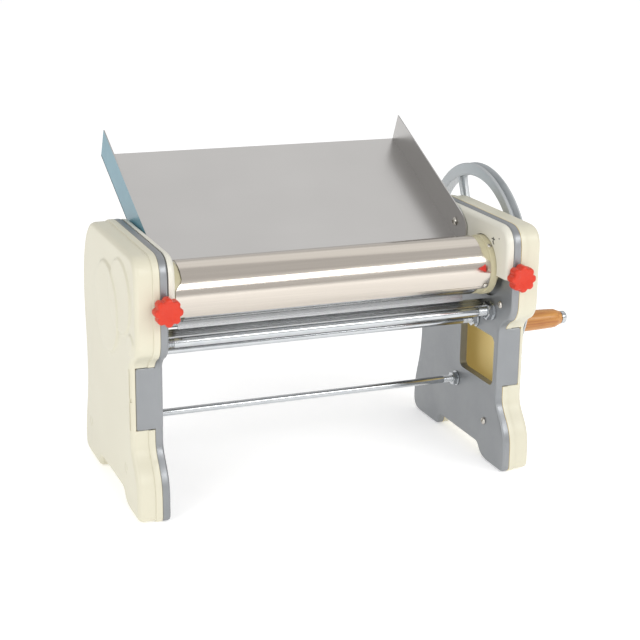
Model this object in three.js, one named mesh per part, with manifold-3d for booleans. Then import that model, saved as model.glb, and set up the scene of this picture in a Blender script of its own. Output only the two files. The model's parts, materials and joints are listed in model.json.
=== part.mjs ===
// Hand cranked dough rolling machine: two cast side frames joined by tie rods, a fixed rear roller,
// a front roller held in eccentric sleeves that set the gap, a sheet hopper and a flywheel.
// Millimetres, +Z up, +X along the rollers towards the flywheel, the working side faces -Y.
import * as THREE from 'three';
import { mergeVertices } from 'three/addons/utils/BufferGeometryUtils.js';
import Module from 'manifold-3d';

const wasm = await Module();
wasm.setup();

function along(from, angle, distance) {
  return { y: from.y + distance * Math.cos(angle), z: from.z + distance * Math.sin(angle) };
}

// ---- driving dimensions ----
const FACE = 147;              // inner face of a side frame, measured from the middle
const PLATE = 6.5;             // thickness of the cast side plate
const SEAM = FACE + PLATE;     // where the outer cover starts
const COVER_OUT = 173;         // outer face of the moulded outer cover
const WALL = 2.4;              // wall of the outer cover
const GAP = 0.3;               // air left between neighbouring pieces
const INNER_FACE = 141;        // inner face of the inner cover
const REAR = { y: 10.5, z: 156.5 };    // axis of the rear roller
const CENTRES = 47.6;          // distance between the roller axes at the middle setting
const LINE = THREE.MathUtils.degToRad(-22);    // direction from the front axis to the rear one
const ECC = 1.5;               // offset of the eccentric bore
const ROLL = along(REAR, LINE, -CENTRES);      // axis of the front roller
const FRONT = along(ROLL, LINE - Math.PI / 2, -ECC);   // axis the sleeves and sheet cover turn about
const DRIVE = { y: 59.5, z: 146.55 };   // axis of the hand wheel shaft
const ROLLER_R = 22.8;
const ROLLER_HALF = 127;       // half length of the roller faces
const JOURNAL_R = 9;
const SLEEVE_R = 17;           // journal of the eccentric sleeve in the frame
const DISC_R = 25.3;           // end disc and adjusting cover, outside
const MODULE = 2;              // gear module
const ROLLER_TEETH = 24;
const BIG_TEETH = 38;
const PINION_TEETH = 12;
const GEAR_X = 160.5;          // inner face of every gear
const GEAR_W = 7;
const LIGHTENING_R = 7;        // five holes that lighten the big gear
const HOPPER_HALF = 140.4;     // half width over the hopper side walls
const SHEET = 1;               // hopper sheet
const TRAY_TOP = { y: 154, z: 251 };   // upper rear edge of the tray
const TRAY_LOW = { y: -4, z: 178 };    // lower front edge of the tray
const TRAY_WALL = 26.8;        // height of the hopper side walls
const KNOB_X = 150.2;          // both lock knobs sit on the middle of the plates
const FRONT_ROD = { y: -43, z: 137, r: 4 };
const REAR_ROD = { y: -15.5, z: 122, r: 3.2 };
const LOW_ROD = { y: 17, z: 57, r: 3.2 };
const WHEEL_X = 178.5;           // near face of the wheel rim
const WHEEL_W = 10.5;
const WHEEL_R = 95.4;
const WHEEL_RIM = 11;          // depth of the rim below that radius
const SPOKES = 5;
const SPOKE_START = 282.9036;  // degrees, the spoke that carries the grip
const CRANK_R = 63.9376;
const COVER_SCREWS = [[-58, 146], [-38, 35], [80, 33]];
const HOPPER_SCREW = { y: 17, z: 202 };
const DRIVE_DIR = Math.atan2(DRIVE.z - REAR.z, DRIVE.y - REAR.y);
const HEAD_FRONT = -77;        // foremost line of the head
const CUT_FROM = -100;         // cutting boxes run from here to here, clear of the whole outline
const CUT_TO = 120;
const CUT_TOP = 220;
const PANEL = { out: 168.5, y0: -57, y1: -53.4, z0: 72, z1: 123.6 };   // flange across the front notch
const WINDOW = { y0: -50, y1: 12, z0: 70.5, z1: 114.5, r: 6 };         // hand hold in the plate
const RING_END = 159;          // bearing rings end here, inside the gear space
const REAR_BUSH_R = 12;
const DRIVE_BUSH_R = 9;
const BORE_R = 11.45;          // eccentric bore of the sleeve
const FRONT_BUSH_R = 11;
const STEM_R = 4;              // lock screw
const STUB_R = 7;              // roller and shaft ends that carry the gears
const HUB_R = 6;               // shaft seat of the pinion and the wheel
const SCREW_HOLE = 2.1;
const INNER_LOW = 172;         // lower edge of the inner cover
const COVER_FROM = 80;         // degrees, hidden upper edge of the sheet cover
const COVER_TO = 218;          // degrees, its lower front edge
const COVER_HALF = 135.9;      // its half length
const COVER_SHEET = 0.8;
const COVER_SCREW = 209;       // degrees
const COVER_SCREW_X = 133.2;
const POINTER = 172;           // degrees

const COLOURS = {
  cast: [0x9a9c9f, 0.55, 0.55],
  cream: [0xe6dfcb, 0.45, 0.0],
  steel: [0xc9c7c3, 0.3, 0.9],
  bright: [0xdedcd8, 0.15, 1.0],
  zinc: [0xb9bcc0, 0.35, 0.85],
  red: [0xe8452c, 0.4, 0.0],
  wood: [0xc98a42, 0.6, 0.0],
  bronze: [0xa98249, 0.4, 0.8],
  gear: [0x85878a, 0.45, 0.8],
  wheel: [0x8d9092, 0.5, 0.6],
};

const group = new THREE.Group();
group.name = 'dough_rolling_machine';

// ---- solids ----
function solid(source) {
  const bare = new THREE.BufferGeometry();
  bare.setAttribute('position', source.getAttribute('position').clone());
  if (source.index) bare.setIndex(source.index.clone());
  const merged = mergeVertices(bare, 1e-4);
  const at = merged.getAttribute('position');
  const from = merged.index.array;
  const a = new THREE.Vector3();
  const b = new THREE.Vector3();
  const c = new THREE.Vector3();
  const tris = [];
  let volume = 0;
  for (let i = 0; i < from.length; i += 3) {
    if (from[i] === from[i + 1] || from[i + 1] === from[i + 2] || from[i] === from[i + 2]) continue;
    a.fromBufferAttribute(at, from[i]);
    b.fromBufferAttribute(at, from[i + 1]);
    c.fromBufferAttribute(at, from[i + 2]);
    volume += a.dot(b.cross(c));
    tris.push(from[i], from[i + 1], from[i + 2]);
  }
  if (volume < 0) tris.reverse();
  const mesh = new wasm.Mesh({
    numProp: 3,
    vertProperties: Float32Array.from(at.array),
    triVerts: Uint32Array.from(tris),
  });
  return new wasm.Manifold(mesh);
}

function box(x0, x1, y0, y1, z0, z1) {
  const shape = new THREE.BoxGeometry(x1 - x0, y1 - y0, z1 - z0);
  shape.translate((x0 + x1) / 2, (y0 + y1) / 2, (z0 + z1) / 2);
  return solid(shape);
}

// A shape drawn in (y, z) and pushed along X.
const YZ_TO_WORLD = new THREE.Matrix4().makeBasis(
  new THREE.Vector3(0, 1, 0),
  new THREE.Vector3(0, 0, 1),
  new THREE.Vector3(1, 0, 0),
);

function pushX(shape, x0, x1, curveSegments = 4) {
  const geometry = new THREE.ExtrudeGeometry(shape, { depth: x1 - x0, bevelEnabled: false, curveSegments });
  geometry.applyMatrix4(YZ_TO_WORLD);
  geometry.translate(x0, 0, 0);
  return solid(geometry);
}

// The same with a rounded edge on both ends; the shape keeps its size at the middle.
function pushXRound(shape, x0, x1, edge, steps = 2) {
  const geometry = new THREE.ExtrudeGeometry(shape, {
    depth: x1 - x0 - 2 * edge,
    bevelEnabled: true,
    bevelThickness: edge,
    bevelSize: edge,
    bevelOffset: -edge,
    bevelSegments: steps,
    curveSegments: 5,
  });
  geometry.applyMatrix4(YZ_TO_WORLD);
  geometry.translate(x0 + edge, 0, 0);
  return solid(geometry);
}

// A closed (radius, x) profile turned about an axis along X.
function turnX(profile, centre, segments = 24) {
  const points = profile.map(([r, x]) => new THREE.Vector2(r, x));
  points.push(points[0].clone());
  const geometry = new THREE.LatheGeometry(points, segments);
  geometry.rotateZ(-Math.PI / 2);
  geometry.translate(0, centre.y, centre.z);
  return solid(geometry);
}

function rodX(r, x0, x1, centre, segments = 24) {
  return turnX([[0, x0], [r, x0], [r, x1], [0, x1]], centre, segments);
}

// A closed (radius, y) profile turned about an axis along Y.
function turnY(profile, x, z, segments = 20) {
  const points = profile.map(([r, y]) => new THREE.Vector2(r, y));
  points.push(points[0].clone());
  const geometry = new THREE.LatheGeometry(points, segments);
  geometry.translate(x, 0, z);
  return solid(geometry);
}

function put(name, body, finish) {
  const mesh = body.getMesh();
  const geometry = new THREE.BufferGeometry();
  geometry.setAttribute('position', new THREE.BufferAttribute(Float32Array.from(mesh.vertProperties), 3));
  geometry.setIndex(new THREE.BufferAttribute(Uint32Array.from(mesh.triVerts), 1));
  geometry.computeVertexNormals();
  const [color, roughness, metalness] = COLOURS[finish];
  const node = new THREE.Mesh(geometry, new THREE.MeshStandardMaterial({ color, roughness, metalness }));
  node.name = name;
  group.add(node);
}

// Side pieces are made for the +X side and mirrored for the other one.
function putSide(name, side, body, finish) {
  put(`${side}_${name}`, side === 'left' ? body.mirror([1, 0, 0]) : body, finish);
}

// ---- outlines in (y, z) ----
function sidePath() {
  const p = new THREE.Shape();
  p.moveTo(-69, 0);
  p.lineTo(-46, 0);
  p.quadraticCurveTo(-34, 0, -29, 7);
  p.quadraticCurveTo(-26.5, 11, -22, 11);
  p.lineTo(44, 11);
  p.quadraticCurveTo(49, 11, 50.5, 6);
  p.quadraticCurveTo(52, 0, 57, 0);
  p.lineTo(92, 0);
  p.quadraticCurveTo(105, 0, 105, 13);
  p.bezierCurveTo(105, 40, 94, 48, 93, 78);
  p.bezierCurveTo(92, 108, 98, 122, 98, 150);
  p.bezierCurveTo(98, 186, 82, 216, 54, 216);
  p.lineTo(-58, 216);
  p.quadraticCurveTo(-77, 216, -77, 196);
  p.lineTo(-77, 150);
  p.quadraticCurveTo(-77, 140, -70, 134.5);
  p.quadraticCurveTo(-57, 128, -57, 120);
  p.lineTo(-57, 62);
  p.bezierCurveTo(-57, 48, -75, 44, -75, 20);
  p.lineTo(-75, 6);
  p.quadraticCurveTo(-75, 0, -69, 0);
  return p;
}

// The outline moved inwards by a wall thickness.
function inset(points, distance) {
  const count = points.length;
  const shape = new THREE.Shape();
  const moved = points.map((here, i) => {
    const before = points[(i + count - 1) % count];
    const after = points[(i + 1) % count];
    const d1 = here.clone().sub(before).normalize();
    const d2 = after.clone().sub(here).normalize();
    const n1 = new THREE.Vector2(-d1.y, d1.x);
    const n2 = new THREE.Vector2(-d2.y, d2.x);
    const middle = n1.clone().add(n2).normalize();
    return here.clone().addScaledVector(middle, distance / Math.max(0.5, middle.dot(n1)));
  });
  shape.setFromPoints(moved);
  return shape;
}

function outlinePoints(steps = 4) {
  const points = sidePath().getPoints(steps);
  if (points[0].distanceTo(points[points.length - 1]) < 1e-6) points.pop();
  return points;
}

function roundedRect(y0, y1, z0, z1, r) {
  const p = new THREE.Shape();
  p.moveTo(y0 + r, z0);
  p.lineTo(y1 - r, z0);
  p.quadraticCurveTo(y1, z0, y1, z0 + r);
  p.lineTo(y1, z1 - r);
  p.quadraticCurveTo(y1, z1, y1 - r, z1);
  p.lineTo(y0 + r, z1);
  p.quadraticCurveTo(y0, z1, y0, z1 - r);
  p.lineTo(y0, z0 + r);
  p.quadraticCurveTo(y0, z0, y0 + r, z0);
  return p;
}

// ---- side frame: plate, front panel, bearing rings, knob boss, window ----
function sideFrame(withDrive) {
  let body = pushXRound(sidePath(), FACE, SEAM + 1.2, 1.2, 1)
    .subtract(box(SEAM, SEAM + 3, CUT_FROM, CUT_TO, -5, CUT_TOP));
  body = body.add(box(FACE, PANEL.out, PANEL.y0, PANEL.y1, PANEL.z0, PANEL.z1));
  body = body.add(rodX(SLEEVE_R + 5, FACE + 1, RING_END, FRONT));
  body = body.add(rodX(REAR_BUSH_R + 5, FACE + 1, RING_END, REAR));
  if (withDrive) body = body.add(rodX(DRIVE_BUSH_R + 4.5, FACE + 1, RING_END, DRIVE));
  const bossEnd = HEAD_FRONT + 0.4;
  body = body.add(turnY([[0, bossEnd], [6.5, bossEnd], [6.5, -52], [0, -52]], KNOB_X, FRONT.z));
  for (const [y, z] of COVER_SCREWS) body = body.subtract(rodX(2.3, FACE - 1, SEAM + 1, { y, z }, 12));
  const window = roundedRect(WINDOW.y0, WINDOW.y1, WINDOW.z0, WINDOW.z1, WINDOW.r);
  body = body.subtract(pushX(window, FACE - 1, SEAM + 1, 3));
  body = body.subtract(pushX(legPocket(), SEAM - 3, SEAM + 1));
  body = body.subtract(rodX(SLEEVE_R + GAP, FACE - 5, 165, FRONT, 36));
  body = body.subtract(rodX(REAR_BUSH_R + GAP, FACE - 5, 165, REAR));
  if (withDrive) body = body.subtract(rodX(DRIVE_BUSH_R + GAP, FACE - 5, 165, DRIVE));
  const threadR = STEM_R + GAP;
  body = body.subtract(turnY([[0, -80], [threadR, -80], [threadR, -48], [0, -48]], KNOB_X, FRONT.z));
  for (const rod of [FRONT_ROD, REAR_ROD, LOW_ROD]) {
    body = body.subtract(rodX(rod.r + GAP, FACE - 5, SEAM + 1, rod, 20));
  }
  body = body.subtract(rodX(SCREW_HOLE, FACE - 1, SEAM + 1, HOPPER_SCREW, 12));
  body = body.subtract(scraperSlot(frontScraperPath(0.45)));
  body = body.subtract(scraperSlot(rearScraperPath(0.45)));
  return body;
}

// Shallow recess on the hidden side of the legs, as a casting has to save metal.
function legPocket() {
  return roundedRect(-44, 88, 20, 62, 8);
}

function scraperSlot(shape) {
  return pushX(shape, FACE - 1, FACE + 2.4);
}

// ---- folded scraper strips under the rollers ----
function strip(points, half) {
  const shape = new THREE.Shape();
  const left = [];
  const right = [];
  points.forEach(([y, z], i) => {
    const [y0, z0] = points[Math.max(0, i - 1)];
    const [y1, z1] = points[Math.min(points.length - 1, i + 1)];
    const length = Math.hypot(y1 - y0, z1 - z0);
    const ny = -(z1 - z0) / length;
    const nz = (y1 - y0) / length;
    left.push(new THREE.Vector2(y + ny * half, z + nz * half));
    right.unshift(new THREE.Vector2(y - ny * half, z - nz * half));
  });
  shape.setFromPoints(left.concat(right));
  return shape;
}

function frontScraperPath(extra = 0) {
  return strip([[-34.2 - extra, 138.8 - extra], [-28.2 + extra, 143.2 + extra]], 0.8 + extra);
}

function rearScraperPath(extra = 0) {
  return strip([[4 - extra, 123.5 - extra], [13 + extra, 126 + extra]], 0.8 + extra);
}

function frontScraper() {
  const foot = pushX(frontScraperPath(), -(FACE + 2), FACE + 2);
  const blade = pushX(strip([[-28.8, 142.4], [-26.2, 151.4]], 0.7), -(ROLLER_HALF - 1), ROLLER_HALF - 1);
  return foot.add(blade);
}

function rearScraper() {
  const foot = pushX(rearScraperPath(), -(FACE + 2), FACE + 2);
  const blade = pushX(strip([[4.6, 123.4], [2.6, 132.2]], 0.7), -(ROLLER_HALF - 1), ROLLER_HALF - 1);
  return foot.add(blade);
}

// ---- moulded outer cover: a shell open towards the frame ----
function outerCover(withDrive) {
  const points = outlinePoints();
  let body = pushXRound(sidePath(), SEAM - 4, COVER_OUT, 3.6, 2)
    .subtract(box(SEAM - 6, SEAM + GAP, CUT_FROM, CUT_TO, -5, CUT_TOP));
  body = body.subtract(pushX(inset(points, WALL), SEAM - 1, COVER_OUT - WALL));
  body = body.subtract(box(SEAM - 1, PANEL.out + GAP, -60, -50, PANEL.z0 - GAP, PANEL.z1 + GAP));
  body = body.subtract(turnY([[0, -80], [6.9, -80], [6.9, -70], [0, -70]], KNOB_X, FRONT.z));
  for (const [y, z] of COVER_SCREWS) {
    body = body.add(rodX(4, SEAM + GAP, COVER_OUT - 1.5, { y, z }, 16));
    body = body.subtract(rodX(SCREW_HOLE, SEAM - 1, COVER_OUT - WALL - 2, { y, z }, 12));
  }
  body = body.add(rodX(38, COVER_OUT - 1, COVER_OUT + 1.2, REAR, 36));
  body = body.add(rodX(31, COVER_OUT - 1, COVER_OUT + 0.7, FRONT, 32));
  body = body.add(rodX(10.5, COVER_OUT - 1, COVER_OUT + 0.7, { y: -61, z: 143 }, 18));
  body = body.subtract(box(COVER_OUT - 0.8, COVER_OUT + 2, PANEL.y1 - 0.1, PANEL.y1 + 1.1, PANEL.z0, 123));
  if (withDrive) body = body.subtract(rodX(12, SEAM, COVER_OUT + 4, DRIVE));
  return body;
}

// ---- moulded inner cover: upper half of the head only, hollow towards the plate ----
function innerCover() {
  const above = box(INNER_FACE - 5, FACE + 5, CUT_FROM, CUT_TO, INNER_LOW, CUT_TOP);
  const outer = inset(outlinePoints(), 0.4);
  const hollow = inset(outlinePoints(), 4.2);
  let body = pushXRound(outer, INNER_FACE, FACE + 6, 4, 2).intersect(above);
  body = body.subtract(box(FACE - GAP, FACE + 10, CUT_FROM, CUT_TO, INNER_LOW - 10, CUT_TOP));
  body = body.subtract(pushX(hollow, INNER_FACE + 1.8, FACE + 1));
  body = body.add(rodX(5, INNER_FACE + 1, FACE - GAP, HOPPER_SCREW, 16));
  body = body.subtract(rodX(SCREW_HOLE, INNER_FACE - 1, FACE + 1, HOPPER_SCREW, 12));
  body = body.subtract(turnY([[0, -80], [6.9, -80], [6.9, -50], [0, -50]], KNOB_X, FRONT.z));
  return body.subtract(rodX(DISC_R + 0.7, INNER_FACE - 1, FACE + 1, FRONT, 40));
}

// ---- hopper: one folded sheet, tray and two side walls ----
function hopper() {
  const length = Math.hypot(TRAY_TOP.y - TRAY_LOW.y, TRAY_TOP.z - TRAY_LOW.z);
  const ny = -(TRAY_TOP.z - TRAY_LOW.z) / length;
  const nz = (TRAY_TOP.y - TRAY_LOW.y) / length;
  const tray = new THREE.Shape();
  tray.moveTo(TRAY_LOW.y, TRAY_LOW.z);
  tray.lineTo(TRAY_TOP.y, TRAY_TOP.z);
  tray.lineTo(TRAY_TOP.y + ny * SHEET, TRAY_TOP.z + nz * SHEET);
  tray.lineTo(TRAY_LOW.y + ny * SHEET, TRAY_LOW.z + nz * SHEET);
  tray.closePath();
  const wall = new THREE.Shape();
  wall.moveTo(TRAY_LOW.y, TRAY_LOW.z);
  wall.lineTo(TRAY_TOP.y, TRAY_TOP.z);
  wall.lineTo(TRAY_TOP.y + ny * TRAY_WALL, TRAY_TOP.z + nz * TRAY_WALL);
  wall.lineTo(11, 214.3);
  wall.quadraticCurveTo(-3, 208, -4, 201);
  wall.closePath();
  let body = pushX(tray, -HOPPER_HALF, HOPPER_HALF);
  body = body.add(pushX(wall, -HOPPER_HALF, -HOPPER_HALF + SHEET));
  body = body.add(pushX(wall, HOPPER_HALF - SHEET, HOPPER_HALF));
  return body.subtract(rodX(SCREW_HOLE, -HOPPER_HALF - 2, HOPPER_HALF + 2, HOPPER_SCREW, 12));
}

function hopperScrew() {
  const head = 139.1;
  return turnX([
    [0, head - 2.2], [2.2, head - 2.1], [3.6, head - 1], [3.8, head], [1.8, head], [1.8, SEAM], [0, SEAM],
  ], HOPPER_SCREW, 14);
}

function coverScrew(y, z) {
  const top = FACE - GAP;
  return turnX([
    [0, top - 1.8], [2.4, top - 1.5], [3.4, top], [1.8, top], [1.8, COVER_OUT - 5], [0, COVER_OUT - 5],
  ], { y, z }, 12);
}

// ---- tie rods with their inner nuts ----
function tieRod(rod) {
  const end = SEAM + 3;
  const neck = rod.r - 0.35;
  return turnX([
    [0, -end], [neck - 0.6, -end], [neck, -end + 0.8], [neck, -FACE + 14], [rod.r, -FACE + 15],
    [rod.r, FACE - 15], [neck, FACE - 14], [neck, end - 0.8], [neck - 0.6, end], [0, end],
  ], rod, 16);
}

function hexNut(axis, across, bore, x0, x1) {
  const shape = new THREE.Shape();
  for (let i = 0; i < 6; i += 1) {
    const at = along(axis, (i * Math.PI) / 3 + 0.2, across);
    if (i === 0) shape.moveTo(at.y, at.z);
    else shape.lineTo(at.y, at.z);
  }
  shape.closePath();
  return pushXRound(shape, x0, x1, 0.5, 1).subtract(rodX(bore, x0 - 3, x1 + 3, axis, 16));
}

function rodNut(rod) {
  return hexNut(rod, rod.r * 1.95, rod.r, FACE - GAP - rod.r * 1.6, FACE - GAP);
}

// ---- gap adjuster: eccentric sleeves with end discs, and the sheet cover that turns them ----
// A closed (radius, height) profile turned about a line that leaves the sleeve axis at an angle.
function turnOut(profile, x, degrees, segments = 16) {
  const points = profile.map(([r, h]) => new THREE.Vector2(r, h));
  points.push(points[0].clone());
  const geometry = new THREE.LatheGeometry(points, segments);
  geometry.rotateX(THREE.MathUtils.degToRad(degrees));
  geometry.translate(x, FRONT.y, FRONT.z);
  return solid(geometry);
}

function eccentricSleeve() {
  const body = turnX([
    [0, 129.2], [23.4, 129.2], [24.2, 130], [24.2, 136.2], [DISC_R, 136.4], [DISC_R, 143.2], [SLEEVE_R, 143.2],
    [SLEEVE_R, 158.4], [0, 158.4],
  ], FRONT, 36).subtract(rodX(BORE_R, 120, 165, ROLL, 28));
  return body.subtract(turnOut([[0, 19], [1.5, 19], [1.5, 30], [0, 30]], COVER_SCREW_X, COVER_SCREW, 12));
}

function coverSheet() {
  const outside = [];
  const inside = [];
  const steps = 20;
  for (let i = 0; i <= steps; i += 1) {
    const angle = THREE.MathUtils.degToRad(COVER_FROM + ((COVER_TO - COVER_FROM) * i) / steps);
    const out = along(FRONT, angle, DISC_R);
    const into = along(FRONT, angle, DISC_R - COVER_SHEET);
    outside.push(new THREE.Vector2(out.y, out.z));
    inside.unshift(new THREE.Vector2(into.y, into.z));
  }
  const arc = new THREE.Shape();
  arc.setFromPoints(outside.concat(inside));
  let body = pushX(arc, -COVER_HALF, COVER_HALF);
  for (const s of [-1, 1]) {
    const [x0, x1] = s > 0 ? [129.6, 138] : [-138, -129.6];
    body = body.subtract(box(x0, x1, -60, 10, 186, 210));
    body = body.subtract(turnOut([[0, 20], [1.9, 20], [1.9, 30], [0, 30]], s * COVER_SCREW_X, COVER_SCREW, 12));
  }
  return body;
}

function sheetScrew() {
  const seat = DISC_R + GAP;
  return turnOut([
    [0, 20], [1.2, 20], [1.2, seat], [2.9, seat], [2.6, seat + 1], [1.4, seat + 1.6], [0, seat + 1.7],
  ], COVER_SCREW_X, COVER_SCREW);
}

// Small red pointer lying on the sheet cover close to the scale.
function pointer() {
  const flat = new THREE.Shape();
  flat.moveTo(131, -3.2);
  flat.lineTo(131, 3.2);
  flat.lineTo(124.6, 0);
  flat.closePath();
  const geometry = new THREE.ExtrudeGeometry(flat, { depth: 0.5, bevelEnabled: false });
  geometry.translate(0, 0, DISC_R + GAP);
  geometry.rotateX(THREE.MathUtils.degToRad(POINTER - 90));
  geometry.translate(0, FRONT.y, FRONT.z);
  return solid(geometry);
}

// ---- rollers, bushes and gears ----
function roller(axis, right) {
  return turnX([
    [0, -169], [STUB_R, -169], [STUB_R, -159.6], [JOURNAL_R, -159.6], [JOURNAL_R, -ROLLER_HALF],
    [ROLLER_R - 0.6, -ROLLER_HALF], [ROLLER_R, -ROLLER_HALF + 0.6], [ROLLER_R, ROLLER_HALF - 0.6],
    [ROLLER_R - 0.6, ROLLER_HALF], [JOURNAL_R, ROLLER_HALF],
    [JOURNAL_R, 159.6], [STUB_R, 159.6], [STUB_R, right], [0, right],
  ], axis, 28);
}

function bush(axis, inner, outer, x0, x1) {
  return turnX([[inner, x0], [outer, x0], [outer, x1], [inner, x1]], axis, 24);
}

function flangedBush(axis, inner, outer, x0, x1) {
  const lip = outer + 2;
  return turnX([
    [inner, x0 - 2.4], [lip, x0 - 2.4], [lip, x0 - GAP], [outer, x0 - GAP], [outer, x1], [inner, x1],
  ], axis, 24);
}

function gear(axis, teeth, tipR, rootR, thickness, phase, bore) {
  const pitchR = (MODULE * teeth) / 2;
  const slope = Math.tan(THREE.MathUtils.degToRad(20));
  const halfTip = (thickness / 2 - (tipR - pitchR) * slope) / tipR;
  const halfRoot = (thickness / 2 + (pitchR - rootR) * slope) / rootR;
  const shape = new THREE.Shape();
  const corners = [[rootR, -halfRoot], [tipR, -halfTip], [tipR, halfTip], [rootR, halfRoot]];
  for (let i = 0; i < teeth; i += 1) {
    for (const [r, turn] of corners) {
      const at = along(axis, phase + turn + (2 * Math.PI * i) / teeth, r);
      if (i === 0 && turn === -halfRoot) shape.moveTo(at.y, at.z);
      else shape.lineTo(at.y, at.z);
    }
  }
  shape.closePath();
  return pushX(shape, GEAR_X, GEAR_X + GEAR_W).subtract(rodX(bore, GEAR_X - 2, GEAR_X + GEAR_W + 2, axis));
}

function rollerGear(axis, phase) {
  return gear(axis, ROLLER_TEETH, 25.3, 20.7, 1.95, phase, STUB_R + GAP).mirror([1, 0, 0]);
}

function bigGear() {
  let body = gear(REAR, BIG_TEETH, 39.7, 35.3, 2.45, DRIVE_DIR, STUB_R + GAP);
  for (let i = 0; i < 5; i += 1) {
    const hole = along(REAR, DRIVE_DIR + (i * 2 * Math.PI) / 5, 21.5);
    body = body.subtract(rodX(LIGHTENING_R, GEAR_X - 2, GEAR_X + GEAR_W + 2, hole, 12));
  }
  return body;
}

function pinion() {
  return gear(DRIVE, PINION_TEETH, 13.6, 9.5, 2.45, DRIVE_DIR + Math.PI + Math.PI / PINION_TEETH, HUB_R + GAP);
}

// ---- hand wheel, crank pin and grip ----
function driveShaft() {
  return turnX([
    [0, 143], [HUB_R, 143], [STUB_R, 144], [STUB_R, 159.8], [HUB_R, 159.8], [HUB_R, 214], [5, 215], [0, 215],
  ], DRIVE, 24);
}

function handWheel() {
  const far = WHEEL_X + WHEEL_W;
  const middle = (WHEEL_X + far) / 2;
  const within = WHEEL_R - WHEEL_RIM;
  let body = turnX([
    [within, WHEEL_X + 1], [within + 1, WHEEL_X], [WHEEL_R - 1, WHEEL_X], [WHEEL_R, WHEEL_X + 1],
    [WHEEL_R, middle - 3.2], [WHEEL_R - 5, middle - 0.9], [WHEEL_R - 5, middle + 0.9], [WHEEL_R, middle + 3.2],
    [WHEEL_R, far - 1], [WHEEL_R - 1, far], [within + 1, far], [within, far - 1],
  ], DRIVE, 42);
  body = body.add(turnX([[0, 176], [14, 176], [15, 177], [15, 199], [14, 200], [0, 200]], DRIVE, 24));
  for (let i = 0; i < SPOKES; i += 1) {
    const spoke = roundedRect(8, WHEEL_R - 8, -5, 5, 1);
    const arm = pushX(spoke, middle - 2, middle + 2, 1);
    const rib = pushX(roundedRect(8, WHEEL_R - 8, -1.6, 1.6, 0.4), middle - 4, middle + 4, 1);
    const angle = SPOKE_START + (360 / SPOKES) * i;
    body = body.add(arm.add(rib).rotate([angle, 0, 0]).translate([0, DRIVE.y, DRIVE.z]));
  }
  body = body.add(rodX(9, WHEEL_X + 1, 195, crank(), 16));
  body = body.subtract(rodX(4 + GAP, middle - 20, middle + 20, crank(), 14));
  return body.subtract(rodX(HUB_R + GAP, 170, 205, DRIVE, 24));
}

function crank() {
  return along(DRIVE, THREE.MathUtils.degToRad(SPOKE_START), CRANK_R);
}

function crankPin() {
  return turnX([
    [0, 181.4], [4, 181.4], [4, 195.3], [6.5, 195.3], [6.5, 200.8], [4, 200.8], [4, 287], [3, 290.6], [0, 290.6],
  ], crank(), 14);
}

function grip() {
  const outline = new THREE.SplineCurve([
    new THREE.Vector2(7.6, 203), new THREE.Vector2(9.4, 214), new THREE.Vector2(9.9, 240),
    new THREE.Vector2(9.4, 266), new THREE.Vector2(8.2, 279), new THREE.Vector2(6.4, 284.4),
  ]);
  const profile = outline.getPoints(8).map((p) => [p.x, p.y]);
  profile.unshift([4.5, 201.2], [6.6, 201.2]);
  profile.push([4.5, 284.4]);
  return turnX(profile, crank(), 20);
}

function gripNut() {
  return turnX([
    [4 + GAP, 284.8], [6.2, 284.8], [6.2, 288.6], [5.2, 289.8], [4 + GAP, 289.8],
  ], crank(), 16);
}

// ---- lock knob: lobed head, threaded stem, loose brass pad at the tip ----
function lockKnob() {
  const shape = new THREE.Shape();
  const steps = 48;
  for (let i = 0; i < steps; i += 1) {
    const angle = (2 * Math.PI * i) / steps;
    const r = 13.2 - 2.4 * Math.sin(4 * angle) ** 4;
    if (i === 0) shape.moveTo(r * Math.cos(angle), r * Math.sin(angle));
    else shape.lineTo(r * Math.cos(angle), r * Math.sin(angle));
  }
  shape.closePath();
  const geometry = new THREE.ExtrudeGeometry(shape, {
    depth: 7, bevelEnabled: true, bevelThickness: 2, bevelSize: 2, bevelOffset: -2, bevelSegments: 1,
  });
  geometry.rotateX(Math.PI / 2);
  geometry.translate(KNOB_X, -82, FRONT.z);
  const collar = turnY([[0, -81], [6, -81], [6, -77.4], [0, -77.4]], KNOB_X, FRONT.z);
  const bore = turnY([[0, -86], [4.3, -86], [4.3, -70], [0, -70]], KNOB_X, FRONT.z, 20);
  return solid(geometry).add(collar).subtract(bore);
}

function knobStem() {
  return turnY([
    [0, -85.6], [STEM_R, -85.6], [STEM_R, -55.2], [3.2, -54.4], [0, -54.4],
  ], KNOB_X, FRONT.z, 20);
}

function knobPad() {
  return turnY([[0, -54], [3.6, -54], [3.6, -51], [3, -50.5], [0, -50.5]], KNOB_X, FRONT.z, 20);
}

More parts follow.
